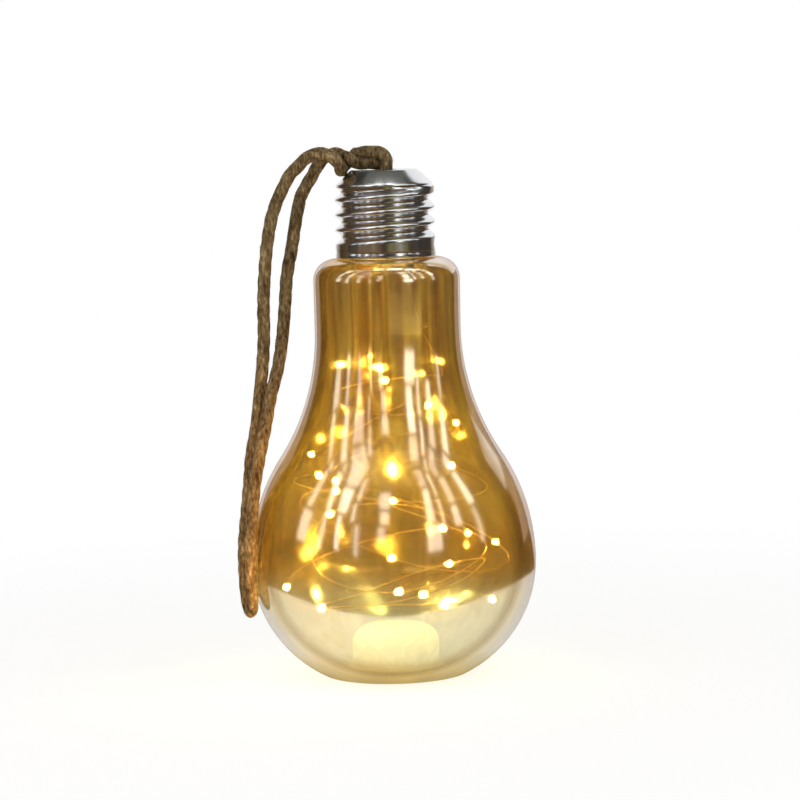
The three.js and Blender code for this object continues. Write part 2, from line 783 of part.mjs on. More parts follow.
const bottomBend = [
  [1.9, -12, 0.1449],
  [2.6, -14.5, 0.1396],
  [3.3, -17, 0.1483],
].map(onBelly);
const rearRun = [
  [3.7, -19.4, 0.1698],
  [3.8, -22, 0.2151],
  [4.2, -23.4, 0.2752],
  [4.9, -21.4, 0.333],
  [6.1, -18.6, 0.3904],
  [8.5, -16.4, 0.4481],
  [11.3, -14.6, 0.506],
  [13.9, -12.6, 0.5639],
  [17.4, -10.2, 0.6216],
  [19.5, -7.4, 0.6794],
  [20.8, -4.6, 0.7374],
  [21.9, -2, 0.7957],
  [24.4, 0.4, 0.8539],
].map(onBelly);
const rearTop = [
  [-37.98, 2.2, -19.11],
  [-35.83, 3, -10.61],
  [-33.4, 3.35, -6.2],
  [-32.1, 3.52, -4.05],
  [-31.49, 3.43, -3.09],
].map(onCap);
const loopPoints = [...frontTop, ...frontRun, ...bottomBend, ...rearRun, ...rearTop];

function ropeKnot() {
  const front = tube(smoothPath(frontKnot), KNOT_R, 36, 8);
  const rear = tube(smoothPath(rearKnot), KNOT_R, 22, 8);
  return joined(front, rear);
}

function ropeLoop() {
  return tube(smoothPath(loopPoints), ROPE_R, 84, 10);
}

function stopperKnot() {
  const high = WASHER_Z - 2 * FIT;
  const strands = [1, -1].map((side) => {
    const points = [
      [0.8, side * pairY, high],
      [0.6, side * pairY, high - 5],
      [0.2, side * (pairY + 0.4), high - 9],
      [-0.6, side * (pairY + 1.8), high - 13],
    ];
    return tube(smoothPath(points), KNOT_R, 8, 8);
  });
  const wrap = new THREE.TorusGeometry(5.4, KNOT_R, 8, 18);
  wrap.rotateX(0.3);
  wrap.translate(0.4, 0, high - 5.2);
  return joined(...strands, wrap);
}

// Finishes
const AMBER = [0xb98a45, 0.1, 0.45];
const CHROME = [0xc9ccd0, 0.12, 1];
const JUTE = [0x6f5a3a, 0.95, 0];
const COPPER = [0xb87845, 0.35, 0.9];
const EPOXY = [0xffe2a0, 0.25, 0];
const WHITE = [0xe9e6de, 0.55, 0];
const BLACK = [0x1d1d1f, 0.6, 0];
const STEEL = [0xb4b6b8, 0.3, 1];
const BRASS = [0xc2a05a, 0.35, 1];
const GREEN = [0x1f6b3c, 0.5, 0];
const SILICONE = [0xd8d6d0, 0.7, 0];
const FOAM = [0xf1efe8, 0.9, 0];
const TAN = [0xc8a878, 0.6, 0];

const light = new THREE.Group();
light.name = 'hanging_bulb_light';

function add(name, geometry, [color, roughness, metalness]) {
  const material = new THREE.MeshStandardMaterial({ color, roughness, metalness });
  const mesh = new THREE.Mesh(geometry, material);
  mesh.name = name;
  light.add(mesh);
}

const onBoard = BOARD_Z + BOARD_T + SEAT;
add('glass_bulb', glassBulb(), AMBER);
add('cap_shell', capShell(), CHROME);
add('thread_sleeve', threadSleeve(), WHITE);
add('sealing_liner', ring(CELL_R + 2, SLEEVE_ROOT_R - 2 * FIT, LINER_Z, LINER_Z + LINER_T, 28), FOAM);
add('rim_gasket', ring(MOUTH_R + 0.1, LID_R, GASKET_Z, GASKET_Z + GASKET_T, 28), SILICONE);
add('cartridge_cup', cartridgeCup(), WHITE);
add('cartridge_lid', cartridgeLid(), WHITE);
add('lid_screw_rear', lidScrew(1), STEEL);
add('lid_screw_front', lidScrew(-1), STEEL);
add('coin_cell_lower', coinCell(CELL_1_Z), STEEL);
add('coin_cell_upper', coinCell(CELL_2_Z), STEEL);
add('negative_contact', negativeContact(), BRASS);
add('positive_contact', positiveContact(), BRASS);
add('circuit_board', circuitBoard(), GREEN);
add('timer_chip', block(4.9, 3.9, 1.4, 5.2, 4.7, onBoard), BLACK);
add('resistor', resistor(), TAN);
add('switch_body', switchBody(), STEEL);
add('switch_slider', switchSlider(), BLACK);
add('inner_lead', innerLead(), COPPER);
add('strain_relief', strainRelief(), BLACK);
add('led_wire', tube(wirePath, WIRE_R, wireSteps, 6), COPPER);
for (let n = 0; n < LED_COUNT; n += 1) {
  add(`led_${String(n + 1).padStart(2, '0')}`, ledBead(n), EPOXY);
}
add('rope_washer', ring(HOLE_R, WASHER_R, WASHER_Z, WASHER_Z + WASHER_T, 24), STEEL);
add('stopper_knot', stopperKnot(), JUTE);
add('rope_knot', ropeKnot(), JUTE);
add('rope_loop', ropeLoop(), JUTE);

export default light;
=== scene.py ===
import math
import random

import bpy
import numpy as np
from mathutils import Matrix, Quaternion, Vector


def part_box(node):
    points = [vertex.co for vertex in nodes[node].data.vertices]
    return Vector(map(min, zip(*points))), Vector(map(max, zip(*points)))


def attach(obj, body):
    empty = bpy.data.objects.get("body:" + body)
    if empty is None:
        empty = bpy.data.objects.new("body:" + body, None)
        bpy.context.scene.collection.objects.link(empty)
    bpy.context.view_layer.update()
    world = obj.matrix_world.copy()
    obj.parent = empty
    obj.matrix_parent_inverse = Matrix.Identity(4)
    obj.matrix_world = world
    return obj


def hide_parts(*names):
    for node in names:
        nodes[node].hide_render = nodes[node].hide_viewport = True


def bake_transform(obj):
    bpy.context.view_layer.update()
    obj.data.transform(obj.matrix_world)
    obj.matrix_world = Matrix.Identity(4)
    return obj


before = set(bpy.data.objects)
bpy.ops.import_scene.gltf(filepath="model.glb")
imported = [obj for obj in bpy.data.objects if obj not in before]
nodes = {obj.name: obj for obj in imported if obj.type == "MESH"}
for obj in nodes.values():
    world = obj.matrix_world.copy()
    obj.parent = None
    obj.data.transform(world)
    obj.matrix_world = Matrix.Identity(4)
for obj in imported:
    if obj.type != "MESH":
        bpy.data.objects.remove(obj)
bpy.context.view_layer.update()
scene = bpy.context.scene

MM = 0.001
TAU = 2 * math.pi

# Sizes shared with the CAD model, in millimetres
BELLY_R = 61.5
BELLY_Z = 49.4
UPPER_R = 83
LOWER_R = 54.7
FLARE_R = 100
NECK_R = 31.5
LEDGE_Z = 180
SHOULDER_R = 9
WALL = 2.2
BASE_WALL = 3.6
CORNER_R = 5
INNER_CORNER_R = 4
PUNT_R = 18.75
PUNT_Z = 21
PUNT_ROUND = 8
PUNT_WALL = 2.4
FOOT_ROUND = 2
UNDER_ROUND = 1.6
MOUTH_R = 12.8
FINISH_R = 15.2
RIM_Z = 191
THREAD_PITCH = 4.2
THREAD_TURNS = 1.25
THREAD_RISE = 3.2
BEAD_H = 1.2
BEAD_W = 1.7
CAP_TOP_Z = 218
CAP_GAP = 0.4
CAP_EDGE = 31.4
CAP_SKIN = 1.6
CAP_HOLE_R = 6
COLLAR_R = 21.6
CAP_BORE_R = 18
GROOVE_DEPTH = 2.6
GROOVE_PITCH = 6.43
GROOVE_RISE = 6
GROOVE_START = -0.06  # in turns
GROOVE_FADE = 0.16  # in turns
GROOVE_ROUND = 0.9  # power that widens the root and narrows the crest
ROPE_R = 2.75
TAIL_R = 2.7
LEAN_R = 64.6
WIRE_R = 0.35
WIRE_TOP = 172.05
WIRE_LOOPS = 8
WIRE_STEPS = 22
LED_R = 1.6
LED_LONG = 4.4
LED_COUNT = 20


# Camera, in metres and degrees, with its lens and sensor in millimetres
EYE = (0.00445, -1.5, 0.262)
TARGET = (0.00445, 0, 0.1186)
ROLL = -1.46
SENSOR_WIDTH = 36
LENS = 157.3


def place_camera():
    data = bpy.data.cameras.new("camera")
    data.sensor_width = SENSOR_WIDTH
    data.lens = LENS
    data.clip_start = 0.05
    data.clip_end = 30
    camera = bpy.data.objects.new("camera", data)
    scene.collection.objects.link(camera)
    eye, target = Vector(EYE), Vector(TARGET)
    camera.location = eye
    camera.rotation_mode = "QUATERNION"
    roll = Quaternion((0, 0, 1), math.radians(ROLL))
    camera.rotation_quaternion = (target - eye).to_track_quat("-Z", "Y") @ roll
    scene.camera = camera


# Meshes
PLY_SHARE = {2: 0.5, 3: 0.87}  # radius of a ply over that of its cord
LOBE_RELIEF = 0.045
LOBE_TURN = 0.5


def mesh_piece(name, verts, faces, materials, indices=None, sharp=None):
    data = bpy.data.meshes.new(name)
    data.from_pydata([tuple(np.array(v) * MM) for v in verts], [], faces)
    for material in materials:
        data.materials.append(material)
    if indices is not None:
        data.polygons.foreach_set("material_index", indices)
    data.polygons.foreach_set("use_smooth", [True] * len(data.polygons))
    if sharp is not None:
        data.set_sharp_from_angle(angle=math.radians(sharp))
    data.update()
    piece = bpy.data.objects.new(name, data)
    scene.collection.objects.link(piece)
    return piece


def arc(x, z, radius, start, end, steps):
    angles = np.radians(np.linspace(start, end, steps + 1))
    return [(x + radius * math.cos(a), z + radius * math.sin(a)) for a in angles]


def chain(*parts):
    """Outline of several stretches, without doubled points."""
    points = []
    for p in (p for part in parts for p in part):
        if not points or math.dist(points[-1], p) > 0.02:
            points.append(p)
    return points


def bridge(faces, low, high, sides):
    """Faces between two rings, which are given by their first points."""
    for j in range(sides):
        on = (j + 1) % sides
        faces.append((low + j, low + on, high + on, high + j))


def lathe(profile, sides, wobble):
    """Turned surface of an outline; a point on the axis becomes a pole."""
    verts, rings = [], []
    for r, z in profile:
        if r < 1e-6:
            rings.append([len(verts)])
            verts.append((0, 0, z))
            continue
        ring = []
        for j in range(sides):
            a = TAU * j / sides
            grown = r + wobble(a, z)
            ring.append(len(verts))
            verts.append((grown * math.cos(a), grown * math.sin(a), z))
        rings.append(ring)
    faces, rows = [], []
    for i in range(len(rings) - 1):
        low, high = rings[i], rings[i + 1]
        for j in range(sides):
            on = (j + 1) % sides
            if len(low) == 1:
                face = (low[0], high[on], high[j])
            elif len(high) == 1:
                face = (low[j], low[on], high[0])
            else:
                face = (low[j], low[on], high[on], high[j])
            faces.append(face)
            rows.append(i)
    return verts, faces, rows


def smooth_step(x):
    t = min(max(x, 0), 1)
    return t * t * (3 - 2 * t)


def spline(points, per=24):
    """Centripetal Catmull-Rom line through the points."""
    p = [np.array(q, float) for q in points]
    p = [2 * p[0] - p[1]] + p + [2 * p[-1] - p[-2]]
    line = []
    for i in range(1, len(p) - 2):
        a, b, c, d = p[i - 1 : i + 3]
        t1 = math.sqrt(np.linalg.norm(b - a))
        t2 = t1 + math.sqrt(np.linalg.norm(c - b))
        t3 = t2 + math.sqrt(np.linalg.norm(d - c))
        for t in np.linspace(t1, t2, per, endpoint=False):
            ab = a * (t1 - t) / t1 + b * t / t1
            bc = b * (t2 - t) / (t2 - t1) + c * (t - t1) / (t2 - t1)
            cd = c * (t3 - t) / (t3 - t2) + d * (t - t2) / (t3 - t2)
            abc = ab * (t2 - t) / t2 + bc * t / t2
            bcd = bc * (t3 - t) / (t3 - t1) + cd * (t - t1) / (t3 - t1)
            line.append(abc * (t2 - t) / (t2 - t1) + bcd * (t - t1) / (t2 - t1))
    line.append(p[-2])
    return np.array(line)


def spaced(line, step):
    """Points at even steps along a line."""
    along = np.concatenate([[0], np.cumsum(np.linalg.norm(np.diff(line, axis=0), axis=1))])
    count = max(2, round(along[-1] / step))
    at = np.linspace(0, along[-1], count + 1)
    return np.stack([np.interp(at, along, line[:, k]) for k in range(3)], 1)


def carried_frames(path):
    """Tangent and two cross directions that turn as little as possible along a path."""
    tangents = np.gradient(path, axis=0)
    tangents /= np.linalg.norm(tangents, axis=1)[:, None]
    side = np.cross(tangents[0], (0.3, 1, 0.2))
    across, up = [], []
    for t in tangents:
        side = side - t * np.dot(side, t)
        side /= np.linalg.norm(side)
        across.append(side)
        up.append(np.cross(t, side))
    return tangents, np.array(across), np.array(up)


def add_tube(verts, faces, centres, across, up, radius, sides, lobes=0):
    """Closed tube with optional small lobes that wind along it."""
    first = len(verts)
    for k, centre in enumerate(centres):
        for j in range(sides):
            a = TAU * j / sides
            r = radius[k]
            if lobes:
                r *= 1 + LOBE_RELIEF * math.cos(lobes * a + LOBE_TURN * k)
            verts.append(centre + r * (math.cos(a) * across[k] + math.sin(a) * up[k]))
    for k in range(len(centres) - 1):
        bridge(faces, first + k * sides, first + (k + 1) * sides, sides)
    faces.append(tuple(first + j for j in reversed(range(sides))))
    last = first + (len(centres) - 1) * sides
    faces.append(tuple(last + j for j in range(sides)))


def laid_strands(verts, faces, path, radius, plies, pitch, sides, step, lobes=0):
    """Plies laid round each other along a path, as in a rope or a twisted pair."""
    _, across, up = carried_frames(path)
    ply = radius * PLY_SHARE[plies]
    offset = radius - ply
    for p in range(plies):
        turn = TAU * (np.arange(len(path)) * step / pitch + p / plies)
        out = np.cos(turn)[:, None] * across + np.sin(turn)[:, None] * up
        beside = np.cos(turn)[:, None] * up - np.sin(turn)[:, None] * across
        radii = np.full(len(path), ply)
        add_tube(verts, faces, path + offset * out, out, beside, radii, sides, lobes)


def add_fibres(verts, faces, path, radius, count, seed):
    """Loose fibre ends that stand off a natural rope."""
    rng = random.Random(seed)
    tangents, across, up = carried_frames(path)
    for _ in range(count):
        k = rng.randrange(4, len(path) - 4)
        a = rng.uniform(0, TAU)
        out = math.cos(a) * across[k] + math.sin(a) * up[k]
        way = tangents[k] * rng.choice((-1, 1))
        root = path[k] + out * radius * rng.uniform(0.82, 0.95)
        long = rng.uniform(1.0, 3.2)
        lift = rng.uniform(0.1, 0.34)
        curl = np.cross(out, way) * rng.uniform(-0.4, 0.4)
        spine = [
            root + long * (s * way + lift * s * (1.6 - 0.6 * s) * out + s * s * curl)
            for s in (0, 0.35, 0.7, 1)
        ]
        side = [np.cross(way, out)] * 4
        add_tube(verts, faces, spine, side, [out] * 4, [0.045, 0.04, 0.03, 0.015], 3)


# Shader nodes
def new_material(name):
    material = bpy.data.materials.new(name)
    material.use_nodes = True
    tree = material.node_tree
    tree.nodes.clear()
    output = tree.nodes.new("ShaderNodeOutputMaterial")
    return material, tree, output


def feed(tree, socket, value):
    """Sets a socket to a number, or links it to another socket."""
    if isinstance(value, (int, float)):
        socket.default_value = value
    else:
        tree.links.new(value, socket)


def grey(value):
    return (value,) * 3


def ramp(tree, stops, source):
    node = tree.nodes.new("ShaderNodeValToRGB")
    elements = node.color_ramp.elements
    while len(elements) < len(stops):
        elements.new(0.5)
    for element, (place, colour) in zip(elements, stops):
        element.position = place
        element.color = (*colour, 1)
    tree.links.new(source, node.inputs["Fac"])
    return node.outputs["Color"]


def math_node(tree, operation, a, b):
    node = tree.nodes.new("ShaderNodeMath")
    node.operation = operation
    feed(tree, node.inputs[0], a)
    feed(tree, node.inputs[1], b)
    return node.outputs[0]


def object_axis(tree, axis):
    """Place along one axis of the object, in metres."""
    place = tree.nodes.new("ShaderNodeTexCoord")
    split = tree.nodes.new("ShaderNodeSeparateXYZ")
    tree.links.new(place.outputs["Object"], split.inputs["Vector"])
    return split.outputs[axis]


def noise(tree, scale, detail=4.0, stretch=(1, 1, 1), rough=0.55):
    place = tree.nodes.new("ShaderNodeTexCoord")
    mapping = tree.nodes.new("ShaderNodeMapping")
    mapping.inputs["Scale"].default_value = stretch
    tree.links.new(place.outputs["Object"], mapping.inputs["Vector"])
    texture = tree.nodes.new("ShaderNodeTexNoise")
    texture.inputs["Scale"].default_value = scale
    texture.inputs["Detail"].default_value = detail
    texture.inputs["Roughness"].default_value = rough
    tree.links.new(mapping.outputs["Vector"], texture.inputs["Vector"])
    return texture.outputs["Fac"]


def bump(tree, height, strength, distance):
    node = tree.nodes.new("ShaderNodeBump")
    node.inputs["Strength"].default_value = strength
    node.inputs["Distance"].default_value = distance
    tree.links.new(height, node.inputs["Height"])
    return node.outputs["Normal"]


def facing(tree):
    """0 where a surface faces the eye, and 1 at its outline."""
    node = tree.nodes.new("ShaderNodeLayerWeight")
    node.inputs["Blend"].default_value = 0.5
    return node.outputs["Facing"]


def layer(tree, share, below, above):
    """Mix of two shaders; the share is a number or a socket."""
    mix = tree.nodes.new("ShaderNodeMixShader")
    feed(tree, mix.inputs["Fac"], share)
    tree.links.new(below, mix.inputs[1])
    tree.links.new(above, mix.inputs[2])
    return mix.outputs["Shader"]


def multiplied(tree, share, a, b):
    """One colour times another, as far as the share says."""
    mix = tree.nodes.new("ShaderNodeMix")
    mix.data_type = "RGBA"
    mix.blend_type = "MULTIPLY"
    feed(tree, mix.inputs["Factor"], share)
    tree.links.new(a, mix.inputs["A"])
    tree.links.new(b, mix.inputs["B"])
    return mix.outputs["Result"]


def coloured(tree, kind, colour):
    """Plain shader of one kind, in the colour of a socket."""
    shader = tree.nodes.new("ShaderNodeBsdf" + kind)
    tree.links.new(colour, shader.inputs["Color"])
    return shader.outputs["BSDF"]


def principled(tree, output, tint, normal):
    """Principled surface with its colour and relief."""
    shader = tree.nodes.new("ShaderNodeBsdfPrincipled")
    tree.links.new(tint, shader.inputs["Base Color"])
    tree.links.new(normal, shader.inputs["Normal"])
    tree.links.new(shader.outputs["BSDF"], output.inputs["Surface"])
    return shader


# Materials
def solid_material(name, dark, light, roughness, metallic=0.0, scale=300, grain=0.3,
                   depth=0.0001, stretch=(1, 1, 1)):
    """One Principled finish whose colour, roughness and relief follow a fine grain."""
    material, tree, output = new_material(name)
    field = noise(tree, scale, stretch=stretch)
    tint = ramp(tree, [(0.3, dark), (0.7, light)], field)
    shader = principled(tree, output, tint, bump(tree, field, grain, depth))
    low = math_node(tree, "MULTIPLY", field, 0.5 * roughness)
    rough = math_node(tree, "ADD", low, 0.75 * roughness)
    tree.links.new(rough, shader.inputs["Roughness"])
    shader.inputs["Metallic"].default_value = metallic
    return material


# Glass tint by height, as a share of GLASS_TOP; the darker gold at the very foot is partly the
# thicker base glass and partly a painted shade line below the milky middle
GLASS_TOP = 0.2
AMBER_WITH_PAINTED_FOOT_SHADE = [
    (0, (0.5, 0.4, 0.12)), (0.025, (0.68, 0.6, 0.3)), (0.07, (0.74, 0.78, 0.8)),
    (0.2, (0.76, 0.73, 0.58)), (0.26, (0.66, 0.46, 0.17)), (0.32, (0.64, 0.41, 0.11)),
    (0.42, (0.78, 0.57, 0.19)), (0.6, (0.76, 0.55, 0.18)), (0.8, (1, 0.82, 0.4)),
]
CLEAR = [(0, (0.99, 0.98, 0.95)), (1, (0.99, 0.98, 0.95))]
# Streaks in the tint, by a noise that runs up the wall: partly an uneven coat, partly painted
# reflections of upright bands
COAT_STREAKS_AND_PAINTED_REFLECTIONS = [
    (0.34, (0.5, 0.3, 0.13)), (0.43, (1, 0.92, 0.66)), (0.48, (0.6, 0.4, 0.2)),
    (0.53, (1, 1, 0.95)), (0.62, (0.72, 0.5, 0.27)),
]
# Haze by height
FILM = [(0.16, (0.9, 0.9, 0.82)), (0.25, (0.8, 0.48, 0.11)), (0.42, (1, 0.83, 0.22))]
# Mirror colour from the middle of a wall to its outline, and at the foot by height; towards the
# outline a dark line, a pale band and a dark edge are painted into it, standing for the thick wall's
# refraction
LUSTRE_AND_PAINTED_RIM = [
    (0, (1, 0.97, 0.82)), (0.44, (1, 0.95, 0.76)), (0.53, (0.6, 0.5, 0.36)),
    (0.62, (0.85, 0.76, 0.62)), (0.76, (0.8, 0.76, 0.76)), (0.92, (0.76, 0.7, 0.66)),
    (1, (0.3, 0.24, 0.2)),
]
FOOT = [(0, (0.8, 0.68, 0.3)), (0.03, (0.92, 0.86, 0.6)), (0.07, (1, 1, 1))]
# Milky middle of the base, by its own height; the darker stops low down paint a shade along its foot
FROST_AND_PAINTED_FOOT_SHADE = [
    (0.27, (0.5, 0.42, 0.18)), (0.36, (0.42, 0.35, 0.17)), (0.52, (0.8, 0.79, 0.7)),
    (1, (0.88, 0.88, 0.86)),
]


def coat_and_painted_reflection_streaks(tree, tints, height, share):
    """Uneven coat and painted reflections: a mottled tint, pale and dark upright streaks painted
    into it for reflected bands, and a mirror share that varies in the same streaks.
    """
    mottled = math_node(tree, "SUBTRACT", noise(tree, 30, 3, (1, 1, 0.3)), 0.5)
    mottled = math_node(tree, "MULTIPLY", mottled, 0.12)
    tint = ramp(tree, tints, math_node(tree, "ADD", height, mottled))
    streak = noise(tree, 64, 2, (1, 1, 0.04), 0.6)
    where = ramp(tree, [(0.3, grey(0.25)), (0.62, grey(0.9))], height)
    # painted reflections: pale and dark upright bands multiplied into the tint, stronger up the wall
    tint = multiplied(tree, where, tint, ramp(tree, COAT_STREAKS_AND_PAINTED_REFLECTIONS, streak))
    uneven = math_node(tree, "MULTIPLY", math_node(tree, "SUBTRACT", streak, 0.5), 1.6)
    share = math_node(tree, "ADD", share, math_node(tree, "MULTIPLY", uneven, height))
    return tint, share


def glass_material(name, tints, mirror, rim, rough, haze, streaked):
    """Wall that lets light straight through its tint, under a mirror lustre and a faint haze."""
    material, tree, output = new_material(name)
    height = math_node(tree, "DIVIDE", object_axis(tree, "Z"), GLASS_TOP)
    edge = facing(tree)
    share = ramp(tree, [(0.48, grey(mirror)), (0.62, grey(rim))], edge)
    if streaked:
        tint, share = coat_and_painted_reflection_streaks(tree, tints, height, share)
    else:
        tint = ramp(tree, tints, height)
    film = ramp(tree, FILM, height)
    milk = layer(tree, 0.75, coloured(tree, "Diffuse", film), coloured(tree, "Translucent", film))
    body = layer(tree, haze, coloured(tree, "Transparent", tint), milk)
    # the mirror colour carries the painted rim: a dark line and a pale band near the outline
    shine = multiplied(tree, 1, ramp(tree, LUSTRE_AND_PAINTED_RIM, edge), ramp(tree, FOOT, height))
    gloss = coloured(tree, "Glossy", shine)
    gloss.node.inputs["Roughness"].default_value = rough
    wavy = bump(tree, noise(tree, 26, 1, (1, 1, 0.5)), 0.6, 0.003)
    tree.links.new(wavy, gloss.node.inputs["Normal"])
    tree.links.new(layer(tree, share, body, gloss), output.inputs["Surface"])
    return material


def frosted_material():
    """Milky glass of the pushed-up base, with a painted shade along its foot."""
    material, tree, output = new_material("frosted_glass")
    height = math_node(tree, "DIVIDE", object_axis(tree, "Z"), PUNT_Z * MM)
    cloud = math_node(tree, "MULTIPLY", noise(tree, 60, 3), 0.2)
    # painted shade: darker low on the pushed-up base, for the shadow under its rounded foot
    tint = ramp(tree, FROST_AND_PAINTED_FOOT_SHADE, math_node(tree, "ADD", height, cloud))
    milk = layer(tree, 0.45, coloured(tree, "Diffuse", tint), coloured(tree, "Translucent", tint))
    surface = layer(tree, 0.7, coloured(tree, "Transparent", tint), milk)
    tree.links.new(surface, output.inputs["Surface"])
    return material


def glow_material(name, colour, strength, drop=False):
    """Lit LED material; a drop turns clear towards its rim."""
    material, tree, output = new_material(name)
    shader = tree.nodes.new("ShaderNodeBsdfPrincipled")
    shader.inputs["Base Color"].default_value = (1, 0.86, 0.55, 1)
    shader.inputs["Roughness"].default_value = 0.12
    tint = ramp(tree, [(0.3, tuple(0.9 * c for c in colour)), (0.7, colour)], noise(tree, 900, 2))
    tree.links.new(tint, shader.inputs["Emission Color"])
    shader.inputs["Emission Strength"].default_value = strength
    surface = shader.outputs["BSDF"]
    if drop:
        solid = ramp(tree, [(0.1, grey(0.6)), (0.75, grey(0.1))], facing(tree))
        through = tree.nodes.new("ShaderNodeBsdfTransparent")
        surface = layer(tree, solid, through.outputs["BSDF"], surface)
    tree.links.new(surface, output.inputs["Surface"])
    return material


def jute_material():
    """Brown bast fibre: fine flecks along the strand over a slower change of shade."""
    material, tree, output = new_material("jute")
    flecks = noise(tree, 900, 3, (1, 1, 0.35), 0.65)
    shade = noise(tree, 170, 2, (1, 1, 0.6))
    field = math_node(tree, "ADD", math_node(tree, "MULTIPLY", flecks, 0.65),
                      math_node(tree, "MULTIPLY", shade, 0.35))
    tint = ramp(tree, [(0.36, (0.035, 0.02, 0.008)), (0.48, (0.13, 0.085, 0.036)),
                       (0.56, (0.2, 0.14, 0.064)), (0.66, (0.4, 0.3, 0.15))], field)
    shader = principled(tree, output, tint, bump(tree, field, 1.0, 0.0009))
    shader.inputs["Roughness"].default_value = 0.9
    shader.inputs["Specular IOR Level"].default_value = 0.2
    return material


def board_material():
    """Green solder mask over a few paler tracks."""
    material, tree, output = new_material("board_green")
    place = tree.nodes.new("ShaderNodeTexCoord")
    wave = tree.nodes.new("ShaderNodeTexWave")
    wave.inputs["Scale"].default_value = 130
    wave.inputs["Distortion"].default_value = 3
    wave.inputs["Detail Scale"].default_value = 0.6
    tree.links.new(place.outputs["Object"], wave.inputs["Vector"])
    tracks = wave.outputs["Fac"]
    tint = ramp(tree, [(0.55, (0.012, 0.13, 0.05)), (0.75, (0.05, 0.27, 0.1))], tracks)
    shader = principled(tree, output, tint, bump(tree, tracks, 0.3, 0.0001))
    shader.inputs["Roughness"].default_value = 0.35
    return material


def resistor_material():
    """Tan body with colour bands across its length."""
    material, tree, output = new_material("resistor_tan")
    low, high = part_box("resistor")
    along = math_node(tree, "SUBTRACT", object_axis(tree, "X"), low.x)
    along = math_node(tree, "DIVIDE", along, high.x - low.x)
    tan = (0.55, 0.38, 0.2)
    bands = [(0, tan), (0.18, (0.1, 0.03, 0.01)), (0.26, tan), (0.42, (0.02, 0.02, 0.02)),
             (0.5, tan), (0.6, (0.5, 0.04, 0.02)), (0.68, tan), (0.8, (0.6, 0.4, 0.1)),
             (0.88, tan)]
    tint = ramp(tree, bands, along)
    tint.node.color_ramp.interpolation = "CONSTANT"
    shader = principled(tree, output, tint, bump(tree, noise(tree, 900), 0.2, 0.0001))
    shader.inputs["Roughness"].default_value = 0.4
    return material


# Rope
def on_cap(points):
    return [(x, y, CAP_TOP_Z + z) for x, y, z in points]


def on_belly(points):
    return [(inset - LEAN_R, y, share * CAP_TOP_Z) for inset, y, share in points]


FRONT_KNOT = on_cap([
    (0.8, -2.9, -2.95), (1.1, -2.9, 1), (1.2, -3, 4.4), (-0.8, -2.6, 7), (-4.6, -1.4, 7.7),
    (-9, 1.1, 7.4), (-12.2, 4.8, 6.5), (-14.6, 6.8, 4), (-17.2, 5.2, 1.5), (-18.5, 0.2, 0.3),
    (-18, -4.8, 0.5), (-19.6, -7.2, 3.7), (-23.8, -6.4, 7.1), (-29.3, -5.5, 7.4),
    (-32.6, -5.2, 5.9), (-34.6, -5.2, 4.3),
])
REAR_KNOT = on_cap([
    (0.8, 2.9, -2.95), (0.7, 2.9, 0.4), (-1, 2.2, 2.2), (-4.4, 0.2, 2.85), (-9, -0.4, 2.85),
    (-12.6, -1, 3.5), (-16.6, -0.8, 5.9), (-21, 0.6, 7.2), (-25.2, 2, 5.6),
    (-28.4, 3, 2), (-30.64, 3.3, -1.8),
])
LOOP = (
    on_cap([(-37, -5.2, 1.9), (-40.48, -5.4, -1.65), (-42.73, -5.7, -5.84),
            (-44.97, -6, -10.04), (-48.19, -6.4, -18.48)])
    + on_belly([
        (13.9, -6.8, 0.8568), (12.5, -7, 0.7981), (11.7, -7, 0.7393), (11.5, -7.2, 0.6803),
        (10.5, -7.6, 0.6214), (8.9, -8, 0.5625), (7.2, -8.4, 0.5036), (4.7, -8.8, 0.4447),
        (3.4, -9.2, 0.3856), (1.9, -9.6, 0.3264), (0.5, -9.8, 0.267), (0.4, -9.8, 0.2073),
        (1, -10.2, 0.1636), (1.9, -12, 0.1449), (2.6, -14.5, 0.1396), (3.3, -17, 0.1483),
        (3.7, -19.4, 0.1698), (3.8, -22, 0.2151), (4.2, -23.4, 0.2752), (4.9, -21.4, 0.333),
        (6.1, -18.6, 0.3904), (8.5, -16.4, 0.4481), (11.3, -14.6, 0.506),
        (13.9, -12.6, 0.5639), (17.4, -10.2, 0.6216), (19.5, -7.4, 0.6794),
        (20.8, -4.6, 0.7374), (21.9, -2, 0.7957), (24.4, 0.4, 0.8539),
    ])
    + on_cap([(-37.98, 2.2, -19.11), (-35.83, 3, -10.61), (-33.4, 3.35, -6.2),
              (-32.1, 3.52, -4.05)])
)
ROPE_STEP = 0.6
ROPE_PITCH = 21.0
ROPE_PLIES = 3
PLY_LOBES = 5
FIBRES = 1300
STOPPER_Z = 214.75
STOPPER_RING_R = 5.4
STOPPER_TILT = 0.3


def make_rope(material):
    path = spaced(spline(FRONT_KNOT + LOOP + REAR_KNOT[::-1]), ROPE_STEP)
    verts, faces = [], []
    laid_strands(verts, faces, path, ROPE_R, ROPE_PLIES, ROPE_PITCH, 18, ROPE_STEP, PLY_LOBES)
    add_fibres(verts, faces, path, ROPE_R, FIBRES, seed=5)
    rope = mesh_piece("jute_rope", verts, faces, [material])
    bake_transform(rope)
    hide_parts("rope_loop", "rope_knot")
    return rope, path


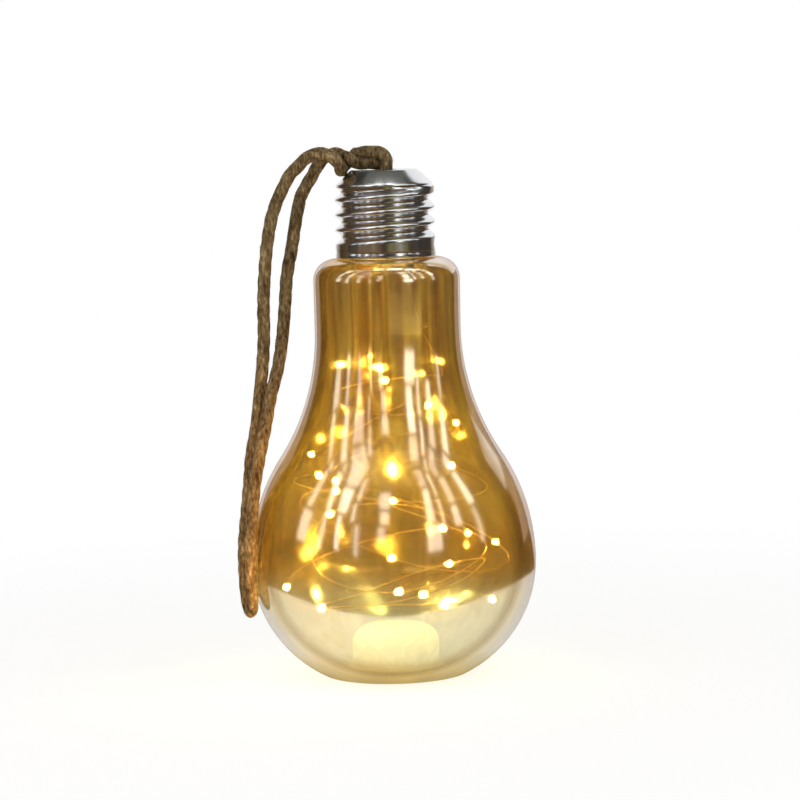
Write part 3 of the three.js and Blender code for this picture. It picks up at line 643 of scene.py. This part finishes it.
def make_stopper(material):
    """Overhand stop under the washer, inside the cap."""
    lines = [
        spline([(0.8, side * 2.9, STOPPER_Z), (0.6, side * 2.9, STOPPER_Z - 5),
                (0.2, side * 3.3, STOPPER_Z - 9), (-0.6, side * 4.7, STOPPER_Z - 13)])
        for side in (1, -1)
    ]
    turns = np.linspace(0.1, TAU - 0.1, 90)
    ring = np.stack([STOPPER_RING_R * np.cos(turns), STOPPER_RING_R * np.sin(turns), 0 * turns], 1)
    lean, rise = math.cos(STOPPER_TILT), math.sin(STOPPER_TILT)
    tilt = np.array([[1, 0, 0], [0, lean, -rise], [0, rise, lean]])
    lines.append(ring @ tilt.T + (0.4, 0, STOPPER_Z - 5.2))
    verts, faces = [], []
    for line in lines:
        path = spaced(line, ROPE_STEP)
        laid_strands(verts, faces, path, TAIL_R, ROPE_PLIES, ROPE_PITCH, 12, ROPE_STEP, PLY_LOBES)
    stopper = mesh_piece("rope_stopper", verts, faces, [material])
    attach(stopper, "cap")
    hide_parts("stopper_knot")
    return stopper


# Glass
GLASS_SIDES = 144
OUTSIDE, INSIDE, FROSTED = range(3)
UPPER_X = BELLY_R - UPPER_R
LOWER_X = BELLY_R - LOWER_R
FLARE_X = NECK_R + FLARE_R
FLARE_Z = BELLY_Z + math.sqrt((UPPER_R + FLARE_R) ** 2 - (FLARE_X - UPPER_X) ** 2)
BEND = math.degrees(math.atan2(FLARE_Z - BELLY_Z, FLARE_X - UPPER_X))
BEND_Z = BELLY_Z + UPPER_R * math.sin(math.radians(BEND))


def inside_radius(z):
    if z >= FLARE_Z:
        return NECK_R - WALL
    if z >= BEND_Z:
        return FLARE_X - math.sqrt((FLARE_R + WALL) ** 2 - (z - FLARE_Z) ** 2)
    if z >= BELLY_Z:
        return UPPER_X + math.sqrt((UPPER_R - WALL) ** 2 - (z - BELLY_Z) ** 2)
    return LOWER_X + math.sqrt((LOWER_R - WALL) ** 2 - (BELLY_Z - z) ** 2)


def blown(angle, z):
    """Small unevenness of blown glass, gone at the base and under the cap."""
    fade = smooth_step((z - 6) / 20) * smooth_step((172 - z) / 20)
    return fade * (
        0.1 * math.sin(2 * angle + z / 31 + 0.4)
        + 0.07 * math.sin(3 * angle - z / 19 + 1.3)
        + 0.05 * math.sin(5 * angle + z / 13)
    )


def thread_bead(verts, faces):
    """Screw thread on the glass finish."""
    steps, fade_steps = 90, 9
    rows = ((-0.35, -0.5), (0.7, -0.42), (BEAD_H, -0.2), (BEAD_H, 0.2), (0.7, 0.42), (-0.35, 0.5))
    first, sides = len(verts), len(rows)
    for i in range(steps + 1):
        a = TAU * THREAD_TURNS * i / steps
        ends = min(i, steps - i, fade_steps) / fade_steps
        for out, wide in rows:
            r = FINISH_R + (out if out < 0 else out * (0.05 + 0.95 * ends))
            z = LEDGE_Z + THREAD_RISE + THREAD_PITCH * a / TAU + wide * BEAD_W
            verts.append((r * math.cos(a), r * math.sin(a), z))
    for i in range(steps):
        low, high = first + i * sides, first + (i + 1) * sides
        for k in range(sides):
            on = (k + 1) % sides
            faces.append((low + k, high + k, high + on, low + on))
    faces.append(tuple(first + k for k in range(sides)))
    faces.append(tuple(first + steps * sides + k for k in reversed(range(sides))))


def glass_outline():
    """Outer and inner outline of the wall, from the base's middle up and back down."""
    run = math.sqrt((LOWER_R - CORNER_R) ** 2 - (BELLY_Z - CORNER_R) ** 2)
    in_z = BASE_WALL + INNER_CORNER_R
    in_run = math.sqrt((LOWER_R - WALL - INNER_CORNER_R) ** 2 - (BELLY_Z - in_z) ** 2)
    low = math.degrees(math.atan2(CORNER_R - BELLY_Z, run))
    low_in = math.degrees(math.atan2(in_z - BELLY_Z, in_run))
    corner_x, in_x = LOWER_X + run, LOWER_X + in_run
    punt_x, punt_z = PUNT_R - PUNT_ROUND, PUNT_Z - PUNT_ROUND
    under_r = PUNT_R - PUNT_WALL
    top, shoulder_x = LEDGE_Z - SHOULDER_R, NECK_R - SHOULDER_R
    lip, flat_r = 0.8, 4
    outer = chain(
        [(0, PUNT_Z - PUNT_WALL), (flat_r, PUNT_Z - PUNT_WALL)],
        arc(punt_x, punt_z, PUNT_ROUND - PUNT_WALL, 90, 0, 10),
        arc(under_r + UNDER_ROUND, UNDER_ROUND, UNDER_ROUND, 180, 270, 6),
        arc(corner_x, CORNER_R, CORNER_R, -90, low, 12),
        arc(LOWER_X, BELLY_Z, LOWER_R, low, 0, 30),
        arc(UPPER_X, BELLY_Z, UPPER_R, 0, BEND, 34),
        arc(FLARE_X, FLARE_Z, FLARE_R, 180 + BEND, 180, 26),
        [(NECK_R, FLARE_Z + (top - FLARE_Z) * s) for s in (0.25, 0.5, 0.75)],
        arc(shoulder_x, top, SHOULDER_R, 0, 90, 14),
        [(FINISH_R, LEDGE_Z)],
        arc(FINISH_R - lip, RIM_Z - lip, lip, 0, 90, 5),
    )
    inner = chain(
        [(MOUTH_R, RIM_Z), (MOUTH_R, LEDGE_Z - WALL)],
        arc(shoulder_x, top, SHOULDER_R - WALL, 90, 0, 10),
        [(NECK_R - WALL, top + (FLARE_Z - top) * s) for s in (0.25, 0.5, 0.75)],
        arc(FLARE_X, FLARE_Z, FLARE_R + WALL, 180, 180 + BEND, 26),
        arc(UPPER_X, BELLY_Z, UPPER_R - WALL, BEND, 0, 34),
        arc(LOWER_X, BELLY_Z, LOWER_R - WALL, 0, low_in, 30),
        arc(in_x, in_z, INNER_CORNER_R, low_in, -90, 10),
        arc(PUNT_R + FOOT_ROUND, BASE_WALL + FOOT_ROUND, FOOT_ROUND, 270, 180, 6),
        arc(punt_x, punt_z, PUNT_ROUND, 0, 90, 12),
        [(flat_r, PUNT_Z), (0, PUNT_Z)],
    )
    return outer, inner


def make_glass(outside, inside, frosted):
    outer, inner = glass_outline()
    profile = outer + inner
    verts, faces, rows = lathe(profile, GLASS_SIDES, blown)
    slack = 0.1
    indices = []
    for row in rows:
        r, z = profile[row]
        pushed_up = BASE_WALL - slack < z < PUNT_Z + slack
        if pushed_up and r < PUNT_R + FOOT_ROUND + slack:
            indices.append(FROSTED)
        else:
            indices.append(OUTSIDE if row < len(outer) - 1 else INSIDE)
    thread_bead(verts, faces)
    indices += [OUTSIDE] * (len(faces) - len(indices))
    glass = mesh_piece("bulb_glass", verts, faces, [outside, inside, frosted], indices, sharp=40)
    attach(glass, "glass")
    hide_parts("glass_bulb")


# Chrome cap, whose groove runs on to the cone's edge
CAP_SIDES = 192
CAP_ROWS = 116
GROOVE_TURNS = 3.95
HEM_ROUND = 0.85
SEAM = ((0, 1.9), (0.1, 2.3), (0.14, 2.6), (0.1, 2.9))  # inset and height of a faint seam
GROOVED_FROM = 3.2
CONE_EDGE = ((0.95, 0.15), (1, 0.4), (1.1, 0.6), (1.3, 0.8))  # inset and height of its rounding
CONE_BOW = 0.084
CONE_TOP_R = 14.4
EDGE_INSET = 0.8
EDGE_ROUND = 1.1
CONE_FOOT = (1.5, 1.05)  # inset and height of the cone's foot
TOP_FLAT_R = 13.5
INNER_TOP_R = 12.7
INNER_SHOULDER_Z = 211.6


def groove(angle, z):
    turn = angle / TAU
    above = (z - LEDGE_Z - GROOVE_RISE) / GROOVE_PITCH - turn
    nearest = round(above)
    along = nearest + turn
    start = smooth_step((along - GROOVE_START) / GROOVE_FADE)
    end = smooth_step((GROOVE_TURNS - along) / GROOVE_FADE)
    hollow = (0.5 + 0.5 * math.cos(TAU * (above - nearest))) ** GROOVE_ROUND
    return GROOVE_DEPTH * start * end * hollow


def make_cap(material):
    low, edge = LEDGE_Z + CAP_GAP, LEDGE_Z + CAP_EDGE
    rows = chain(
        [(CAP_BORE_R, low), (COLLAR_R - 1.1, low)],
        arc(COLLAR_R - HEM_ROUND, low + HEM_ROUND, HEM_ROUND, -90, 0, 6),
        [(COLLAR_R - inset, low + rise) for inset, rise in SEAM],
    )
    plain = len(rows)
    for z in np.linspace(low + GROOVED_FROM, edge, CAP_ROWS + 1):
        rows.append((COLLAR_R - EDGE_INSET * max((z - edge) / EDGE_ROUND + 1, 0) ** 2, z))
    grooved = range(plain, len(rows))
    rows += [(COLLAR_R - inset, edge + rise) for inset, rise in CONE_EDGE]
    cone_r, cone_z = COLLAR_R - CONE_FOOT[0], edge + CONE_FOOT[1]
    for s in np.linspace(0, 1, 10):
        bow = CONE_BOW * math.sin(math.pi * s)
        rows.append((cone_r + (CONE_TOP_R - cone_r) * s + bow,
                     cone_z + (CAP_TOP_Z - 0.25 - cone_z) * s + bow))
    under = CAP_TOP_Z - CAP_SKIN
    rows += [(TOP_FLAT_R + 0.5, CAP_TOP_Z - 0.06), (TOP_FLAT_R, CAP_TOP_Z),
             (CAP_HOLE_R + 0.8, CAP_TOP_Z), (CAP_HOLE_R + 0.3, CAP_TOP_Z - 0.12),
             (CAP_HOLE_R, CAP_TOP_Z - 0.6), (CAP_HOLE_R, under), (INNER_TOP_R, under),
             (CAP_BORE_R, INNER_SHOULDER_Z)]
    verts, faces = [], []
    for i, (r, z) in enumerate(rows):
        for j in range(CAP_SIDES):
            a = TAU * j / CAP_SIDES
            cut = r - groove(a, z) if i in grooved else r
            verts.append((cut * math.cos(a), cut * math.sin(a), z))
    for i in range(len(rows)):
        bridge(faces, i * CAP_SIDES, (i + 1) % len(rows) * CAP_SIDES, CAP_SIDES)
    cap = mesh_piece("chrome_cap", verts, faces, [material], sharp=50)
    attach(cap, "cap")
    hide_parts("cap_shell")


# LED string
WIRE_DROP = 44
WIRE_CLEAR = 9
WIRE_EASE = 0.35
LED_CLEAR = 1.2
WIRE_STEP = 1.0
WIRE_TWIST = 7.0
BEAD_ROWS = 13
CHIP = ((-0.7, 0.5), (-0.5, 0.8), (0.5, 0.8), (0.7, 0.5))  # place along the wire and radius


def wire_line():
    """Loose loops, tilted this way and that, which lie closer towards the base."""
    points = [(10.2, 0, WIRE_TOP), (10.6, 0.5, WIRE_TOP - 9), (13.2, 2, WIRE_TOP - 20)]
    high, low = WIRE_TOP - WIRE_DROP, PUNT_Z + WIRE_CLEAR
    count = WIRE_LOOPS * WIRE_STEPS
    for i in range(count + 1):
        t = i / count
        angle = TAU * WIRE_LOOPS * t + 0.5
        middle = high + (low - high) * ((1 + WIRE_EASE) * t - WIRE_EASE * t * t)
        tilt = (6 + 7 * math.sin(math.pi * t)) * smooth_step(6 * t)
        z = middle + tilt * smooth_step(5 * (1 - t) + 0.35) * math.sin(angle + 9 * t)
        spread = 0.74 + 0.13 * math.sin(0.62 * angle + 1.1) + 0.05 * math.sin(2.7 * angle)
        r = (inside_radius(z) - LED_R - LED_CLEAR) * spread
        points.append((r * math.cos(angle), r * math.sin(angle), z))
    return spline(points, 10)


def make_wire(material):
    path = spaced(wire_line(), WIRE_STEP)
    verts, faces = [], []
    laid_strands(verts, faces, path, WIRE_R, 2, WIRE_TWIST, 6, WIRE_STEP)
    wire = mesh_piece("led_string_wire", verts, faces, [material])
    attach(wire, "glass")
    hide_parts("led_wire")
    return wire, path


def drop_rows():
    """Places along an epoxy drop and its radius at each."""
    rows = []
    for s in np.linspace(-1, 1, BEAD_ROWS):
        swell = max(1 - abs(s) ** 2.4, 0) ** 0.55
        rows.append((s * LED_LONG / 2, max(LED_R * swell, 0.3 if abs(s) < 1 else 0.2)))
    return rows


def make_beads(path, epoxy, chip):
    """Epoxy drops cast round the wire, each over a lit chip."""
    drop = drop_rows()
    beads = []
    for number in range(1, LED_COUNT + 1):
        name = f"led_{number:02d}"
        low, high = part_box(name)
        centre = np.array((low + high) / 2) / MM
        near = int(np.argmin(np.linalg.norm(path - centre, axis=1)))
        along = path[near + 1] - path[near - 1]
        along /= np.linalg.norm(along)
        across = np.cross(along, (0.31, 0.2, 0.93))
        across /= np.linalg.norm(across)
        up = np.cross(along, across)
        verts, faces, indices = [], [], []
        for index, (rows, sides) in enumerate(((drop, 14), (CHIP, 8))):
            spine = [centre + s * along for s, _ in rows]
            radii = [r for _, r in rows]
            add_tube(verts, faces, spine, [across] * len(rows), [up] * len(rows), radii, sides)
            indices += [index] * (len(faces) - len(indices))
        bead = mesh_piece(f"led_bead_{number:02d}", verts, faces, [epoxy, chip], indices)
        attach(bead, "glass")
        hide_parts(name)
        beads.append(bead)
    return beads


# Kept CAD nodes
def dress_nodes():
    white = solid_material("white_plastic", (0.62, 0.6, 0.55), (0.74, 0.72, 0.67), 0.45, grain=0.25)
    steel = solid_material("steel", (0.42, 0.43, 0.44), (0.62, 0.63, 0.64), 0.32, 1.0,
                           scale=500, stretch=(1, 6, 1))
    brass = solid_material("contact_brass", (0.5, 0.33, 0.12), (0.68, 0.48, 0.2), 0.35, 1.0)
    black = solid_material("black_plastic", (0.012, 0.012, 0.014), (0.03, 0.03, 0.033), 0.55)
    foam = solid_material("foam", (0.62, 0.6, 0.54), (0.82, 0.8, 0.74), 0.9, scale=900, grain=0.8)
    rubber = solid_material("silicone", (0.5, 0.49, 0.46), (0.6, 0.59, 0.56), 0.6, scale=200)
    enamel = solid_material("lead_copper", (0.42, 0.18, 0.07), (0.62, 0.3, 0.13), 0.35, 0.9)
    dressed = {
        "white_plastic": (white, ["thread_sleeve", "cartridge_cup", "cartridge_lid"]),
        "steel": (steel, ["lid_screw_rear", "lid_screw_front", "coin_cell_lower",
                          "coin_cell_upper", "switch_body", "rope_washer"]),
        "contact_brass": (brass, ["negative_contact", "positive_contact"]),
        "black_plastic": (black, ["timer_chip", "switch_slider", "strain_relief"]),
        "foam": (foam, ["sealing_liner"]),
        "silicone": (rubber, ["rim_gasket"]),
        "copper": (enamel, ["inner_lead"]),
        "board_green": (board_material(), ["circuit_board"]),
        "resistor_tan": (resistor_material(), ["resistor"]),
    }
    for slot, (material, names) in dressed.items():
        for name in names:
            data = nodes[name].data
            data.materials.clear()
            data.materials.append(material)
            data.polygons.foreach_set("use_smooth", [True] * len(data.polygons))
            data.set_sharp_from_angle(angle=math.radians(35))


# Studio, in metres and degrees; azimuth 0 is the camera's side
ROOM_AZIMUTHS = np.linspace(-150, 150, 76)
ROOM_TOP = 2.4
LOW_WALL_TOP = 0.36
LOW_WALL_FROM = 126
TABLE_Z = 0.002
CEILING = [(-2.4, -2.4), (2.4, -2.4), (2.4, 0.5), (1.3, 1.1), (0.6, 2.4), (-2.4, 2.4)]
REAR_FAR = 1.1
REAR_FOOT = 0.01
TABLE_LIGHT_Z = 0.004
TABLE_LIGHT_NEAR = 1.15
TABLE_LIGHT_FAR = 1.86
AIM = (0, 0, 0.12)
STRIP_FAR = 1.7
STRIP_GAP = 1
STRIPS = (  # azimuth, width, lowest and highest elevation, radiance
    (-80, 0.26, 6, 58, 1.3), (-63, 0.12, 3, 64, 2.2), (-44, 0.26, 4, 60, 1.9),
    (-30, 0.06, 2, 50, 2.4), (-11, 0.2, 10, 42, 1.2), (31, 0.3, 3, 56, 1.9),
    (46, 0.06, 12, 64, 2.4), (59, 0.14, 14, 58, 1.4), (77, 0.26, 4, 62, 1.5),
)
OVERHEADS = ((-0.95, 0.7), (-0.3, 0.4), (0.35, 0.5), (1.1, 0.7))  # place across and width
OVERHEAD_Y = -0.48
OVERHEAD_Z = 2.25
OVERHEAD_DEPTH = 0.44
OVERHEAD_RADIANCE = 2.4
GOLD = (1, 0.82, 0.26)
ORANGE = (1, 0.5, 0.1)
GLOWS = (  # light of the LED string on the glass, and past the glass on the rope
    ("glow_low", (-0.006, -0.012, 0.06), 0.04, GOLD),
    ("glow_high", (-0.006, -0.012, 0.1), 0.1, GOLD),
    ("glow_left", (-0.036, -0.026, 0.045), 0.12, GOLD),
    ("glow_rope_low", (-0.052, -0.05, 0.04), 0.1, ORANGE),
    ("glow_rope_high", (-0.052, -0.05, 0.095), 0.05, ORANGE),
)
GLOW_R = 0.02
FLOOR_HALF = 8
FLOOR_Z = -0.0004


def polar(far, azimuth, z):
    turn = math.radians(azimuth)
    return far * math.sin(turn), -far * math.cos(turn), z


def stage_card(name, verts, faces, material):
    """Card or panel seen only in reflections."""
    data = bpy.data.meshes.new(name)
    data.from_pydata(verts, [], faces)
    data.materials.append(material)
    card = bpy.data.objects.new(name, data)
    scene.collection.objects.link(card)
    card.visible_camera = False
    card.visible_diffuse = False
    card.visible_shadow = False
    card.visible_transmission = False


def swept_card(name, azimuths, edges, material, lying=False):
    """Card swept round the object; edges gives its two edges' distance and height."""
    verts = [polar(far, a, z) for a in azimuths for far, z in edges(a)]
    order = (0, 1, 3, 2) if lying else (0, 2, 3, 1)
    faces = [tuple(i + k for k in order) for i in range(0, len(verts) - 2, 2)]
    stage_card(name, verts, faces, material)


def room_material():
    """Dim room round the table: broad upright bands of brown, olive and navy."""
    material, tree, output = new_material("room")
    field = noise(tree, 1.1, 2, (1, 1, 0.05))
    tint = ramp(tree, [(0.36, (0.008, 0.01, 0.02)), (0.46, (0.03, 0.026, 0.021)),
                       (0.54, (0.055, 0.048, 0.036)), (0.64, (0.018, 0.016, 0.018))], field)
    light = tree.nodes.new("ShaderNodeEmission")
    tree.links.new(tint, light.inputs["Color"])
    tree.links.new(light.outputs["Emission"], output.inputs["Surface"])
    return material


def plain_glow(name, colour):
    material, tree, output = new_material(name)
    light = tree.nodes.new("ShaderNodeEmission")
    light.inputs["Color"].default_value = (*colour, 1)
    tree.links.new(light.outputs["Emission"], output.inputs["Surface"])
    return material


def room_reach(azimuth):
    return 2.2 if abs(azimuth) < 90 else 1.15


def wall_edges(azimuth):
    far = room_reach(azimuth)
    return (far, -0.05), (far, ROOM_TOP if azimuth < LOW_WALL_FROM else LOW_WALL_TOP)


def table_edges(azimuth):
    near = 0.095 + 0.07 * (azimuth / 90) ** 2
    return (near, TABLE_Z), (room_reach(azimuth), TABLE_Z)


def table_light_edges(_):
    return (TABLE_LIGHT_NEAR, TABLE_LIGHT_Z), (TABLE_LIGHT_FAR, TABLE_LIGHT_Z)


def rear_edges(top):
    return lambda _: ((REAR_FAR, REAR_FOOT), (REAR_FAR, top))


def make_room():
    swept_card("room_wall", ROOM_AZIMUTHS, wall_edges, room_material())
    warm = plain_glow("room_rear", (0.42, 0.33, 0.26))
    for name, azimuths, top in (("rear_left", (-148, -140, -132), 0.8),
                                ("rear_right", (130, 139, 148), LOW_WALL_TOP)):
        swept_card(name, azimuths, rear_edges(top), warm)
    ceiling = plain_glow("ceiling", (0.12, 0.12, 0.1))
    outline = [(x, y, ROOM_TOP) for x, y in CEILING]
    stage_card("room_ceiling", outline, [tuple(range(len(outline)))], ceiling)
    beyond = plain_glow("table_front", (0.1, 0.055, 0.025))
    swept_card("table_front", ROOM_AZIMUTHS, table_edges, beyond, lying=True)
    for name, azimuths, colour in (("table_light_left", (-64, -10), (0.85, 0.46, 0.15)),
                                   ("table_light_right", (5, 52), (0.95, 0.82, 0.3))):
        swept_card(name, azimuths, table_light_edges, plain_glow(name, colour), lying=True)


def lamp(name, place, aim, wide, high, radiance):
    data = bpy.data.lights.new(name, "AREA")
    data.shape = "RECTANGLE"
    data.size = wide
    data.size_y = high
    data.energy = radiance * math.pi * wide * high
    light = bpy.data.objects.new(name, data)
    scene.collection.objects.link(light)
    light.location = place
    light.rotation_mode = "QUATERNION"
    light.rotation_quaternion = (Vector(aim) - Vector(place)).to_track_quat("-Z", "Y")


def viewing_rays(tree):
    """1 for what the camera sees, straight or in a mirror or glass, and 0 for lighting."""
    path = tree.nodes.new("ShaderNodeLightPath")
    either = math_node(tree, "MAXIMUM", path.outputs["Is Camera Ray"], path.outputs["Is Glossy Ray"])
    return math_node(tree, "MAXIMUM", either, path.outputs["Is Transmission Ray"])


def place_lamps():
    """Upright strips, each in three uneven parts, and panels overhead."""
    rng = random.Random(3)
    for number, (azimuth, wide, low, high, radiance) in enumerate(STRIPS):
        shares = [share + rng.uniform(-0.08, 0.08) for share in (0.36, 0.68)]
        cuts = [low, *(low + (high - low) * share for share in shares), high]
        for part, (start, end) in enumerate(zip(cuts, cuts[1:])):
            turned = azimuth + rng.uniform(-2.5, 2.5)
            rise = math.radians((start + end) / 2)
            place = polar(STRIP_FAR * math.cos(rise), turned, AIM[2] + STRIP_FAR * math.sin(rise))
            long = 2 * STRIP_FAR * math.tan(math.radians((end - start) / 2 - STRIP_GAP))
            lamp(f"strip_{number}_{part}", place, AIM, wide * rng.uniform(0.5, 1.3), long,
                 radiance * rng.uniform(0.6, 1.4))
    for number, (x, wide) in enumerate(OVERHEADS):
        place, below = (x, OVERHEAD_Y, OVERHEAD_Z), (x, OVERHEAD_Y, 0)
        lamp(f"overhead_{number}", place, below, wide, OVERHEAD_DEPTH, OVERHEAD_RADIANCE)


def place_glows():
    for name, spot, energy, colour in GLOWS:
        data = bpy.data.lights.new(name, "POINT")
        data.color = colour
        data.energy = energy
        data.shadow_soft_size = GLOW_R
        glow = bpy.data.objects.new(name, data)
        scene.collection.objects.link(glow)
        glow.location = spot
        glow.visible_camera = False
        glow.visible_glossy = False


def make_world():
    """Soft fill light before a background that is seen as plain white."""
    world = bpy.data.worlds.new("studio")
    scene.world = world
    world.use_nodes = True
    tree = world.node_tree
    tree.nodes.clear()
    output = tree.nodes.new("ShaderNodeOutputWorld")
    seen = tree.nodes.new("ShaderNodeBackground")
    seen.inputs["Strength"].default_value = 1
    seen.inputs["Color"].default_value = (1, 1, 1, 1)
    fill = tree.nodes.new("ShaderNodeBackground")
    fill.inputs["Color"].default_value = (1, 0.99, 0.97, 1)
    fill.inputs["Strength"].default_value = 0.6
    shown = layer(tree, viewing_rays(tree), fill.outputs["Background"], seen.outputs["Background"])
    tree.links.new(shown, output.inputs["Surface"])


def make_floor():
    """White floor that takes the shadow near the object and is plain white further off."""
    material, tree, output = new_material("floor")
    matte = tree.nodes.new("ShaderNodeBsdfDiffuse")
    matte.inputs["Color"].default_value = (0.95, 0.95, 0.94, 1)
    lit = tree.nodes.new("ShaderNodeEmission")
    place = tree.nodes.new("ShaderNodeTexCoord")
    reach = tree.nodes.new("ShaderNodeVectorMath")
    reach.operation = "LENGTH"
    tree.links.new(place.outputs["Object"], reach.inputs[0])
    plain = ramp(tree, [(0.12, grey(0.76)), (0.5, grey(1))], reach.outputs["Value"])
    share = math_node(tree, "MULTIPLY", viewing_rays(tree), plain)
    surface = layer(tree, share, matte.outputs["BSDF"], lit.outputs["Emission"])
    tree.links.new(surface, output.inputs["Surface"])
    data = bpy.data.meshes.new("floor")
    corners = ((-1, -1), (1, -1), (1, 1), (-1, 1))
    data.from_pydata([(x * FLOOR_HALF, y * FLOOR_HALF, FLOOR_Z) for x, y in corners],
                     [], [(0, 1, 2, 3)])
    data.materials.append(material)
    floor = bpy.data.objects.new("floor", data)
    scene.collection.objects.link(floor)


place_camera()
jute = jute_material()
copper = solid_material("copper", (0.75, 0.45, 0.18), (0.9, 0.62, 0.3), 0.4, 0.5, scale=400)
rope, rope_path = make_rope(jute)
stopper = make_stopper(jute)
wire, wire_path = make_wire(copper)
epoxy = glow_material("led_epoxy", (1, 0.9, 0.3), 4, drop=True)
chip = glow_material("led_chip", (1, 0.95, 0.36), 2400)
beads = make_beads(wire_path, epoxy, chip)
make_glass(
    glass_material("amber_glass", AMBER_WITH_PAINTED_FOOT_SHADE, mirror=0.36, rim=0.6, rough=0.12, haze=0.025,
                   streaked=True),
    glass_material("inner_glass", CLEAR, mirror=0.34, rim=0.45, rough=0.14, haze=0.04,
                   streaked=False),
    frosted_material(),
)
make_cap(solid_material("chrome", (0.74, 0.75, 0.77), (0.82, 0.83, 0.84), 0.2, 1.0, scale=60,
                        grain=0.05, depth=0.0004))
dress_nodes()
make_room()
place_lamps()
place_glows()
make_world()
make_floor()
scene.view_settings.view_transform = "Standard"
